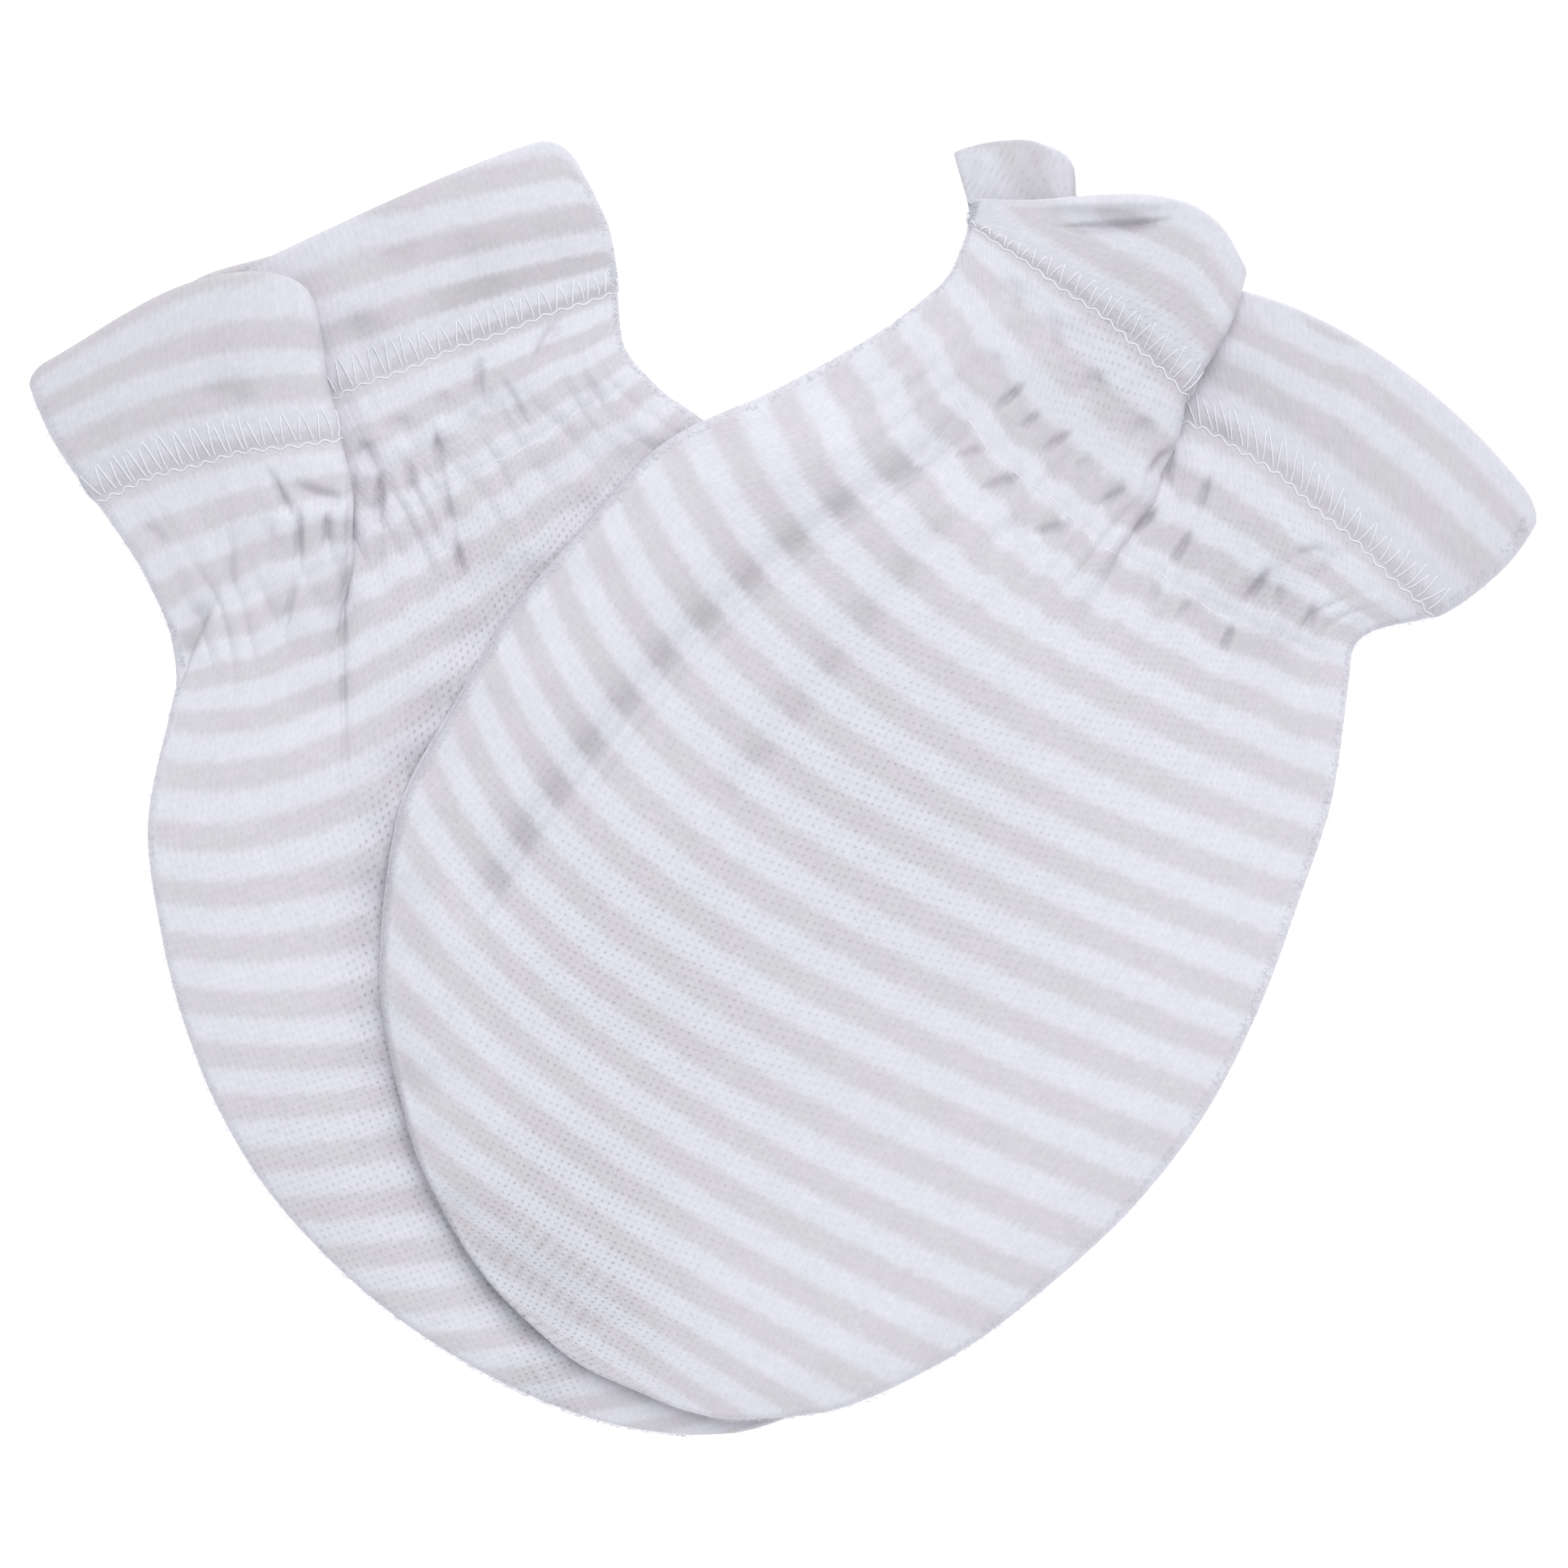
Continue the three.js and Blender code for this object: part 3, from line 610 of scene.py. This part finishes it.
def upper_relief(mitten, base, normal, c, seam, t):
    """Fine form of the upper cloth, along its normal."""
    x, y = base[..., 0], base[..., 1]
    facing = smooth(0.15, 0.6, normal[..., 2])
    inside = smooth(0, 3, seam)

    # The wrist's small gathers, of uneven width, height and length, and its elastic
    reach = 7.0 + 3.0 * np.sin(23 * c + 1.0)
    uneven = 0.6 + 0.4 * np.sin(9.1 * c + 0.7) * np.cos(0.45 * t + 11.3 * c)
    place = math.pi * GATHERS / 2 * (c + 1)
    place = place + 1.1 * np.sin(7 * c) + 0.5 * np.sin(17 * c + 0.3 * t)
    gathers = GATHER_HEIGHT * bell((t + 1.0) / reach) * inside * uneven * np.abs(np.sin(place))
    elastic = 0.18 * bell((t - ELASTIC_LINE) / 0.8) * inside

    # Slow swells of the cloth, the doubled hem and the groove of its seam
    slow = 0.10 * np.sin(0.33 * x + 0.21 * y + 1.3) * np.sin(0.27 * y - 0.19 * x)
    slow = slow + 0.05 * np.sin(0.9 * x - 0.5 * y) * np.sin(0.8 * y + 0.3 * x + 0.4)
    hem = 0.22 * (1 - smooth(HEM_LINE - 0.5, HEM_LINE + 0.9, t))
    groove = 0.14 * bell((t - HEM_LINE) / 0.55)

    creases = crease_depth(mitten["creases"].rows, x, y)
    soft = slow * smooth(0, 6, seam) + hem
    return facing * (gathers - elastic - groove - creases) + soft


def normals_of(points):
    """Unit normals of a grid of points, rows along t and columns along q."""
    along = np.gradient(points, axis=1)
    down = np.gradient(points, axis=0)
    return unit(np.cross(down, along))


def spread(start, end, count, power=1.0):
    """count steps from start to end, closer together near start for a power over 1."""
    return mix(start, end, (np.arange(count + 1) / count) ** power)


def panel_columns(mitten, left, fold, right):
    """Values of q for an upper panel's columns, closer together towards the seams."""
    qa, qb = mitten["zones"]
    return np.concatenate([
        spread(0, qa, left, 1.25),
        spread(qa, qb, fold)[1:],
        spread(1, qb, right, 1.25)[::-1][1:],
    ])


def panel_rows(mitten, edge_rows, frill_rows, hand_rows, tip_rows):
    """Values of t for a panel's rows, closest together at the frill's edge and the tips."""
    first = FRILL_EDGE + 1.2
    last = last_course(mitten) - 2.5
    return np.concatenate([
        spread(FRILL_EDGE, first, edge_rows, 2.0),
        spread(first, FINE_ROWS_END, frill_rows)[1:],
        spread(FINE_ROWS_END, last, hand_rows)[1:],
        spread(last_course(mitten), last, tip_rows, 1.6)[::-1][1:],
    ])


def new_piece(name, points, faces, layers=()):
    """A smooth-shaded mesh object from arrays, in mm, with named point attributes."""
    mesh = bpy.data.meshes.new(name)
    mesh.vertices.add(len(points))
    mesh.vertices.foreach_set("co", (np.asarray(points) * MM).astype(np.float32).ravel())
    sizes = np.concatenate([np.full(len(f), f.shape[1]) for f in faces])
    corners = np.concatenate([f.ravel() for f in faces])
    mesh.loops.add(len(corners))
    mesh.loops.foreach_set("vertex_index", corners.astype(np.int32))
    mesh.polygons.add(len(sizes))
    starts = np.concatenate([[0], np.cumsum(sizes)[:-1]])
    mesh.polygons.foreach_set("loop_start", starts.astype(np.int32))
    for key, values in layers:
        kind, field = ("FLOAT_VECTOR", "vector") if values.ndim == 2 else ("FLOAT", "value")
        layer = mesh.attributes.new(key, kind, "POINT")
        layer.data.foreach_set(field, values.astype(np.float32).ravel())
    mesh.update(calc_edges=True)
    mesh.shade_smooth()
    piece = bpy.data.objects.new(name, mesh)
    bpy.context.scene.collection.objects.link(piece)
    return piece


def grid_faces(rows, columns, first, flip):
    """Four-sided faces over a grid of points, turned the other way with flip."""
    index = first + np.arange(rows * columns).reshape(rows, columns)
    a, b, c, d = index[:-1, :-1], index[1:, :-1], index[1:, 1:], index[:-1, 1:]
    order = (a, d, c, b) if flip else (a, b, c, d)
    return np.stack(order, -1).reshape(-1, 4)


def rim(rows, columns, first):
    """Indices around the outside of a grid, once."""
    index = first + np.arange(rows * columns).reshape(rows, columns)
    return np.concatenate([index[0], index[1:, -1], index[-1, -2::-1], index[-2:0:-1, 0]])


def shell(name, top, bottom, layers):
    """A closed cloth shell: a fine top skin, and a bottom skin with every second point."""
    n, m = top.shape[:2]
    low = bottom[::2, ::2]
    count = n * m
    faces = [grid_faces(n, m, 0, False), grid_faces(*low.shape[:2], count, True)]
    outer = rim(n, m, 0)
    inner = rim(*low.shape[:2], count)
    a, b, c = outer[0::2], outer[1::2], np.roll(outer, -2)[0::2]
    p, r = inner, np.roll(inner, -1)
    join = np.concatenate([np.stack(s, 1) for s in ((a, p, b), (b, p, r), (b, r, c))])
    points = np.concatenate([top.reshape(-1, 3), low.reshape(-1, 3)])
    both = []
    for key, value in layers:
        upper = value.reshape((count,) + value.shape[2:])
        lower = value[::2, ::2]
        lower = lower.reshape((low.shape[0] * low.shape[1],) + value.shape[2:])
        both.append((key, np.concatenate([upper, lower])))
    return new_piece(name, points, [*faces, join], both)


def cloth_across(points, q, t):
    """mm of cloth across a panel at each point, counted from one wale."""
    counted_from = 0.6
    step = np.linalg.norm(np.diff(points, axis=1), axis=-1)
    across = np.concatenate([np.zeros((len(points), 1)), np.cumsum(step, axis=1)], axis=1)
    middle = np.array([np.interp(counted_from, q, row) for row in across])[:, None]
    return (across - middle) * (1 + WRIST_PACKING * bell(t / 13.0))


def stripe_place(mitten, t, c):
    """t of the stripe pattern, which isn't quite parallel to the hem's edge."""
    frill = 1 - smooth(FRILL_EDGE, HEM_LINE, t)
    edge = 1 - smooth(FRILL_EDGE, EDGE_DRIFT_END, t)
    place = t + mitten["drift"].read("drift", c) * frill
    place = place + mitten["edge_drift"].read("drift", c) * edge
    gathered = np.sin(math.pi * 11 * (c + 1) + 3 * np.sin(5 * c))
    return place + 0.30 * bell(t / 9.0) * gathered


def edge_white(mitten, seam, t, c):
    """1 where the seam's or the hem's edge shows no stripes, 0 from a little inside it."""
    reach = mitten["pale_hem"].read("reach", c)
    hem = 1 - smooth(reach - 0.3, reach + 0.5, t - FRILL_EDGE)
    return np.maximum(1 - smooth(0.1, 0.9, seam), hem)


def stretched(mitten, x, y):
    """How far the knit is stretched open in patches, and a band of painted shade beside the
    right mitten's edge.
    """
    total = np.zeros_like(x)
    if mitten is LEFT:
        # Painted shade on the left mitten, in a band beside the right mitten's edge that lies
        # on it
        total = 1.25 * bell(from_right_mitten(x, y) / 3.4) * smooth(32, 24, y)
    for cx, cy, radius, share in mitten["stretched"].rows:
        total = np.maximum(total, share * bell(np.hypot(x - cx, y - cy) / radius))
    return total


def upper_panel(name, mitten, columns, rows):
    """An upper panel's cloth, and what its material needs at each point."""
    q = panel_columns(mitten, *columns)[None, :]
    t = panel_rows(mitten, *rows)[:, None]
    base, c, seam = upper_base(mitten, q, t)
    normal = normals_of(base)
    relief = upper_relief(mitten, base, normal, c, seam, t)
    thick = cloth_thickness(t)
    round_off = edge_rounding(t, seam)
    top = base + normal * (CLOTH / 2 * round_off + relief)[..., None]
    lowest = relief.copy()
    for axis in (0, 1):
        for shift in (1, -1):
            lowest = np.minimum(lowest, np.roll(relief, shift, axis))
    bottom = base - normal * ((thick - CLOTH / 2) * round_off - lowest)[..., None]
    across = cloth_across(base, q[0], t)
    pattern = stripe_place(mitten, t, c)
    knit = np.stack([across, pattern, edge_white(mitten, seam, t, c)], -1)
    opened = stretched(mitten, base[..., 0], base[..., 1])
    pinched = painted_shade_amount(mitten, base[..., 0], base[..., 1])
    return shell(name, top, bottom, [("knit", knit), ("opened", opened), ("pinched", pinched)])


def lower_panel(name, mitten, columns, rows):
    """A lower panel's cloth. It has no pleat, and its hem lies its own way."""
    s = np.linspace(0, 1, columns + 1)[None, :]
    c = -np.cos(math.pi * s)
    t = panel_rows(mitten, *rows)[:, None]
    side = side_distance(course(mitten, t), c)
    t = round_corners(mitten["lower_corner"], mitten["corner"], t, side)
    line = course(mitten, t)
    hem = mitten["lower_hem"]
    own = 1 - smooth(FRILL_EDGE, HEM_LINE, t)
    for key in ("lx", "ly", "sag"):
        line[key] = line[key] + hem[key] * own
    ruffle = mitten["lower_ruffle"].read("reach", c) * own
    x, y = plan_point(line, c, ruffle)
    seam = seam_distance(mitten, line, c, t)
    lip = lip_width(mitten, t)
    below = ground(mitten, x, y)
    up = mix(LOWER_SEAM - seam_drop(below), LOWER_MIDDLE, quarter((seam - lip) / SEAM_ROLL))
    up = mix(up, LOWER_MIDDLE, 1 - smooth(HEM_LINE - 5, HEM_LINE, t))
    wrist = bell(t / 8.0) * smooth(0, 3, seam)
    gathers = 0.5 * np.maximum(0, np.cos(math.pi * 11 * (c + 1) + 0.9 * np.sin(4 * c))) ** 6
    base = np.stack([x, y, below + up + gathers * wrist], -1)
    normal = normals_of(base)
    round_off = edge_rounding(t, seam)
    top = base + normal * ((cloth_thickness(t) - CLOTH / 2) * round_off)[..., None]
    bottom = base - normal * (CLOTH / 2 * round_off)[..., None]
    across = cloth_across(base, s[0], t)
    white = edge_white(LEFT, seam - lip, t, c)
    knit = np.stack([across, stripe_place(mitten, t, c), white], -1)
    opened = np.full_like(x, 0.3)
    pinched = np.zeros_like(x)
    return shell(name, top, bottom, [("knit", knit), ("opened", opened), ("pinched", pinched)])


def skin(mitten, q, t, lift):
    """Places on the outside of an upper panel, lifted off the cloth, and their normals."""
    q_step = 0.001
    t_step = 0.05
    base, c, seam = upper_base(mitten, q, t)
    along = upper_base(mitten, q + q_step, t)[0] - base
    down = upper_base(mitten, q, t + t_step)[0] - base
    normal = unit(np.cross(down, along))
    relief = upper_relief(mitten, base, normal, c, seam, t)
    return base + normal * (CLOTH / 2 + relief + lift)[..., None], normal


def along_course(mitten, t):
    """A ruler along one course: q at a distance from the left seam, and its full length."""
    q = np.linspace(0, 1, 1600)
    points = upper_base(mitten, q, np.full_like(q, t))[0]
    step = np.linalg.norm(np.diff(points, axis=0), axis=1)
    distance = np.concatenate([[0], np.cumsum(step)])
    return lambda at: np.interp(at, distance, q), distance[-1]


def threads(name, paths, ups, radius, sides=5):
    """Round threads along many paths of equal count, as one mesh."""
    tangent = np.gradient(paths, axis=1)
    side = unit(np.cross(tangent, ups))
    up = unit(np.cross(side, tangent))
    angle = 2 * math.pi * np.arange(sides)[:, None] / sides
    ring = np.cos(angle) * side[:, :, None] + np.sin(angle) * up[:, :, None]
    points = (paths[:, :, None] + radius * ring).reshape(-1, 3)
    index = np.arange(len(points)).reshape(*paths.shape[:2], sides)
    turned = np.roll(index, -1, axis=2)
    walls = np.stack([index[:, :-1], index[:, 1:], turned[:, 1:], turned[:, :-1]], -1)
    return new_piece(name, points, [walls.reshape(-1, 4), index[:, 0], index[:, -1, ::-1]])


def hem_stitches(name, mitten):
    """The hem's seam: slanted stitches in pairs over a wavy chain, across both lobes."""
    ruler, length = along_course(mitten, HEM_LINE)

    # The slanted stitches: each pair stands wide at its foot, by the chain, and dips into the
    # cloth at both ends
    foot_apart = 0.58
    head_apart = 0.17
    foot_line = HEM_LINE + 0.1
    f = np.array([0, 0.12, 0.35, 0.65, 0.88, 1.0])
    lift = np.array([-0.12, 0.02, 0.07, 0.07, 0.01, -0.13])
    pair = np.arange(1.0, length - 1.0, STITCH_PITCH)
    pair = pair + 0.10 * np.sin(5.1 * pair) + 0.06 * np.sin(11.7 * pair)
    paths, ups = [], []
    for way in (-1, 1):
        foot = pair + way * foot_apart + 0.09 * np.sin(9 * pair)
        head = pair + way * head_apart + 0.16 * np.sin(3.3 * pair + way)
        tall = mitten["ladder"] + 0.35 * np.sin(4.3 * pair + way)
        bow = 0.06 * np.sin(math.pi * f) * way
        at = mix(foot[:, None], head[:, None], f) + bow
        t = foot_line - tall[:, None] * f
        points, normals = skin(mitten, ruler(at), t, lift)
        paths.append(points)
        ups.append(normals)
    ladder = threads(name + "_ladder", np.concatenate(paths), np.concatenate(ups), THREAD)

    # The chain, one wave to a pair of stitches
    chain_line = HEM_LINE + 0.25
    steps = 7
    at = np.arange(0.8, length - 0.8, STITCH_PITCH / steps)
    wave = 0.20 * np.cos(2 * math.pi * at / STITCH_PITCH) + 0.12 * np.sin(0.7 * at)
    points, normals = skin(mitten, ruler(at), chain_line + wave, 0.03)
    chain = threads(name + "_chain", points[None], normals[None], THREAD * 1.1)
    return [ladder, chain]


def elastic_stitches(name, mitten):
    """The line of stitches that holds the gathered wrist, hidden here and there in a crease."""
    ruler, length = along_course(mitten, ELASTIC_LINE)
    first, last = mitten["elastic_seen"]
    start = np.arange(first * length, last * length, ELASTIC_PITCH)
    start = start + 0.25 * np.sin(2.3 * start)
    f = np.linspace(0, 1, 7)
    at = start[:, None] + ELASTIC_STITCH * f
    way = np.where(np.arange(len(start)) % 2 == 0, 1.0, -1.0)
    tilt = 0.16 * way[:, None] * (f - 0.5)
    t = ELASTIC_LINE + 0.35 * np.sin(0.5 * at) + tilt
    lift = 0.08 * np.sin(math.pi * f) - 0.07
    points, normals = skin(mitten, ruler(at), t, lift)
    return threads(name + "_elastic_stitches", points, normals, THREAD * 0.85)


def seam_fuzz(name, mitten):
    """Short loose fibres along both seams, which give a mitten's edge its soft pale rim."""
    points_each = 4
    sunk = -0.03
    paths, ups = [], []
    for edge, inward in ((0.0, 1), (1.0, -1)):
        chance = np.random.default_rng(5 + inward)
        t = chance.uniform(FRILL_EDGE + 2, last_course(mitten) - 2, FUZZ_COUNT)
        q = edge + inward * chance.uniform(0.0, FUZZ_BAND, FUZZ_COUNT)
        root, normal = skin(mitten, q, t, sunk)
        out = unit(root - skin(mitten, q + inward * FUZZ_BAND / 2, t, sunk)[0])
        along = np.cross(normal, out)
        way = out + chance.normal(0, 0.6, FUZZ_COUNT)[:, None] * along
        length = chance.uniform(0.15, FUZZ_LENGTH, FUZZ_COUNT)[:, None, None]
        f = np.linspace(0, 1, points_each)[None, :, None]
        rise = 0.9 * f - 0.8 * f**2
        path = root[:, None] + length * (f * way[:, None] + rise * normal[:, None])
        path[..., 2] = np.maximum(path[..., 2], 2 * FIBRE)
        paths.append(path)
        ups.append(np.repeat(normal[:, None], points_each, axis=1))
    return threads(name + "_seam_fuzz", np.concatenate(paths), np.concatenate(ups), FIBRE, 3)


def feed(socket, value):
    """Link a value that another node makes, or set a plain one."""
    if isinstance(value, bpy.types.NodeSocket):
        socket.id_data.links.new(value, socket)
    else:
        socket.default_value = value


def new_material(name):
    """An empty material, and a function that adds a node to it and feeds its inputs.

    An input goes by its own name, with _ for a space, or by its number after an i.
    """
    material = bpy.data.materials.new(name)
    material.use_nodes = True
    tree = material.node_tree
    tree.nodes.clear()

    def make(kind, settings=(), **inputs):
        node = tree.nodes.new(kind)
        for key, value in dict(settings).items():
            setattr(node, key, value)
        for key, value in inputs.items():
            numbered = key[0] == "i" and key[1:].isdigit()
            feed(node.inputs[int(key[1:]) if numbered else key.replace("_", " ")], value)
        return node

    return material, make


def finish_surface(make, **inputs):
    """A material's one shader and its output."""
    shader = make("ShaderNodeBsdfPrincipled", **inputs)
    make("ShaderNodeOutputMaterial", Surface=shader.outputs[0])


def jersey_material():
    """White and grey stripes of fine jersey, with its stitches, wales and mottling."""
    material, make = new_material("striped_jersey")

    def calc(operation, a, b=0.0):
        return make("ShaderNodeMath", {"operation": operation}, i0=a, i1=b).outputs[0]

    def add(a, b):
        return calc("ADD", a, b)

    def times(a, b):
        return calc("MULTIPLY", a, b)

    def less(a, share):
        """What is left of 1 after a share of a."""
        return calc("SUBTRACT", 1.0, times(a, share))

    def waves(place, period):
        return calc("COSINE", times(place, 2 * math.pi / period))

    def soft_step(value, low, high, out_low=0.0, out_high=1.0):
        ends = {"i1": low, "i2": high, "i3": out_low, "i4": out_high}
        settings = {"interpolation_type": "SMOOTHSTEP"}
        return make("ShaderNodeMapRange", settings, i0=value, **ends).outputs[0]

    def blend(kind, factor, a, b):
        settings = {"data_type": "RGBA", "blend_type": kind}
        return make("ShaderNodeMix", settings, i0=factor, i6=a, i7=b).outputs[2]

    def attribute(name):
        return make("ShaderNodeAttribute", {"attribute_name": name}).outputs

    # u is mm of cloth across the panel, v is t of its stripes
    knit = make("ShaderNodeSeparateXYZ", Vector=attribute("knit")["Vector"])
    u, v, rim_white = (knit.outputs[axis] for axis in "XYZ")
    opened = attribute("opened")["Fac"]
    pinched = attribute("pinched")["Fac"]

    def cloth_noise(across, along, detail=2.0):
        """Noise over the flat cloth, finer for larger numbers."""
        place = make("ShaderNodeCombineXYZ", X=times(u, across), Y=times(v, along)).outputs[0]
        return make("ShaderNodeTexNoise", Vector=place, Scale=1.0, Detail=detail).outputs["Fac"]

    # Stitches make the edges of the stripes zigzag, and the wales wander a little
    wander = calc("SUBTRACT", cloth_noise(0.35, 0.2), 0.5)
    u_bent = add(u, times(wander, 0.5))
    zigzag = calc("PINGPONG", u_bent, WALE_PITCH / 2)
    ragged = calc("SUBTRACT", cloth_noise(2.6, 1.2), 0.5)
    shifted = add(v, add(times(zigzag, 0.4), times(ragged, 0.8)))
    shifted = calc("SUBTRACT", shifted, 0.08)
    grey = soft_step(waves(shifted, STRIPE_PERIOD), -0.60, 0.64)
    grey = times(grey, less(rim_white, 0.8))

    # Staggered holes between the stitches, unevenly open
    across = waves(u_bent, WALE_PITCH)
    rows = waves(add(v, times(u_bent, 0.25)), COURSE_PITCH)
    lattice = times(add(across, rows), 0.5)
    uneven = soft_step(cloth_noise(1.5, 1.6, 1.0), 0.3, 0.65, 0.3, 1.0)
    amount = calc("MINIMUM", add(times(opened, 0.66), 0.06), 0.75)
    hole = times(times(soft_step(lattice, 0.4, 0.95), uneven), amount)
    loops = add(times(lattice, -0.5), 0.5)

    # Where the knit is stretched most, pale ribs break up its grey stripes
    rib = soft_step(waves(u_bent, 2 * WALE_PITCH), 0.1, 0.9)
    rib = times(rib, soft_step(opened, 0.9, 1.4, 0.0, 0.8))
    grey = times(grey, less(rib, 1.0))

    # The yarns' own colours
    white = (0.662, 0.657, 0.718, 1.0)
    grey_warm = (0.590, 0.563, 0.600, 1.0)
    grey_cool = (0.576, 0.570, 0.598, 1.0)
    tint = cloth_noise(0.22, 0.3, 1.0)
    grey_yarn = blend("MIX", soft_step(tint, 0.4, 0.6), grey_warm, grey_cool)
    colour = blend("MIX", grey, white, grey_yarn)

    # Fibres, mottling and holes make them lighter or darker, and painted shade darkens the hem,
    # the cloth under its stitches, the creases and troughs, and the band beside the right
    # mitten's edge
    fibres = cloth_noise(5.5, 1.4)
    mottle = cloth_noise(0.9, 0.9)
    ladder_top = HEM_LINE - 2.9
    shade = soft_step(fibres, 0.3, 0.7, 0.965, 1.03)
    for factor in (
        soft_step(mottle, 0.25, 0.75, 0.975, 1.02),
        soft_step(loops, 0.1, 0.9, 0.994, 1.006),
        less(hole, 0.38),
        # Stretched knit shows a little darker, and the band beside the right mitten's edge is
        # painted shade
        less(opened, 0.06),
        # Painted shade over the turned hem and under the hem's slanted stitches
        soft_step(v, ladder_top - 0.5, ladder_top + 0.5, HEM_SHADE, LADDER_SHADE),
        soft_step(v, HEM_LINE - 0.3, HEM_LINE + 0.4, 1.0, 1 / LADDER_SHADE),
        # Painted shade in the creases and troughs, most in the grey stripes
        less(times(pinched, add(times(grey, PAINTED_SHADE_GREY), PAINTED_SHADE_TONE)), 1.0),
    ):
        shade = times(shade, factor)
    tone = make("ShaderNodeCombineColor", Red=shade, Green=shade, Blue=shade).outputs[0]
    colour = blend("MULTIPLY", 1.0, colour, tone)

    height = add(times(fibres, 0.55), times(across, 0.10))
    height = calc("SUBTRACT", height, hole)
    bump = make("ShaderNodeBump", Strength=0.55, Distance=0.12 * MM, Height=height)
    finish_surface(
        make, Base_Color=colour, Roughness=0.92, Sheen_Weight=0.18, Sheen_Roughness=0.45,
        Specular_IOR_Level=0.18, Normal=bump.outputs[0],
    )
    return material


def thread_material():
    """White sewing thread, slightly glossy, with its twist."""
    material, make = new_material("sewing_thread")
    darker = (0.72, 0.72, 0.77, 1.0)
    lighter = (0.78, 0.78, 0.83, 1.0)
    place = make("ShaderNodeTexCoord").outputs["Object"]
    spots = make("ShaderNodeTexNoise", Vector=place, Scale=900.0, Detail=2.0).outputs["Fac"]
    colour = make("ShaderNodeMix", {"data_type": "RGBA"}, i0=spots, i6=darker, i7=lighter)
    twist = make(
        "ShaderNodeTexWave", {"bands_direction": "DIAGONAL"}, Vector=place, Scale=1400.0,
        Distortion=1.0,
    ).outputs["Fac"]
    bump = make("ShaderNodeBump", Strength=0.3, Distance=0.04 * MM, Height=twist)
    finish_surface(
        make, Base_Color=colour.outputs[2], Roughness=0.6, Sheen_Weight=0.2,
        Specular_IOR_Level=0.35, Normal=bump.outputs[0],
    )
    return material


def plain_material(name, colour, **inputs):
    """A matt material of one colour."""
    material, make = new_material(name)
    finish_surface(make, Base_Color=colour, Roughness=0.9, **inputs)
    return material


def fibre_material():
    """The white yarn's loose fibres."""
    colour = (0.76, 0.76, 0.82, 1.0)
    return plain_material("loose_fibres", colour, Sheen_Weight=0.2, Specular_IOR_Level=0.2)


def floor_material():
    """A pale surface that glows a little, so that it stays near white."""
    colour = (0.95, 0.95, 0.95, 1.0)
    glow = (1.0, 1.0, 1.0, 1.0)
    return plain_material("pale_floor", colour, Emission_Color=glow, Emission_Strength=0.45)


def build_stage():
    """A plain pale floor, one soft light nearly overhead, and the camera straight above."""
    bpy.ops.mesh.primitive_plane_add(size=3.0)
    floor = bpy.context.object
    floor.name = "floor"
    floor.location.z = -0.3 * MM
    floor.data.materials.append(floor_material())

    world = bpy.data.worlds.new("studio")
    bpy.context.scene.world = world
    world.use_nodes = True
    background = world.node_tree.nodes["Background"]
    background.inputs["Color"].default_value = (0.97, 0.98, 1.0, 1.0)
    background.inputs["Strength"].default_value = 0.73

    lamp = bpy.data.lights.new("key", "AREA")
    lamp.size = 1.1
    lamp.energy = 13.0
    light = bpy.data.objects.new("key", lamp)
    light.location = (0.22, 0.6, 1.25)
    light.rotation_euler = (-light.location).to_track_quat("-Z", "Y").to_euler()
    bpy.context.scene.collection.objects.link(light)

    sensor = 36.0
    distance = 1.6
    camera_data = bpy.data.cameras.new("camera")
    camera_data.sensor_width = sensor
    camera_data.lens = sensor * distance / (PHOTO_WIDTH * MM)
    camera = bpy.data.objects.new("camera", camera_data)
    camera.location = (0, 0, distance)
    bpy.context.scene.collection.objects.link(camera)
    bpy.context.scene.camera = camera


jersey = jersey_material()
thread = thread_material()
fibres = fibre_material()

# Columns of the near lobe, the fold and the far lobe, and rows from the edge to the tips
left_columns = (76, 26, 158)
right_columns = (128, 26, 106)
upper_rows = (6, 150, 112, 10)
lower_columns = 120
lower_rows = (4, 70, 80, 6)

panels = [
    upper_panel("left_front_cloth", LEFT, left_columns, upper_rows),
    upper_panel("right_front_cloth", RIGHT, right_columns, upper_rows),
    lower_panel("left_back_cloth", LEFT, lower_columns, lower_rows),
    lower_panel("right_back_cloth", RIGHT, lower_columns, lower_rows),
]
nodes = ["left_upper_panel", "right_upper_panel", "left_lower_panel", "right_lower_panel"]
for panel, node in zip(panels, nodes):
    panel.data.materials.append(jersey)
    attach(panel, "root")
    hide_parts(node)

for panel, under, side, mitten in zip(panels[:2], nodes[2:], ("left", "right"), (LEFT, RIGHT)):
    sewing = [*hem_stitches(side + "_hem", mitten), elastic_stitches(side, mitten)]
    for piece in sewing:
        piece.data.materials.append(thread)
        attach(piece, "root")
    fuzz = seam_fuzz(side, mitten)
    fuzz.data.materials.append(fibres)
    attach(fuzz, "root")

build_stage()
bpy.context.scene.view_settings.view_transform = "Standard"
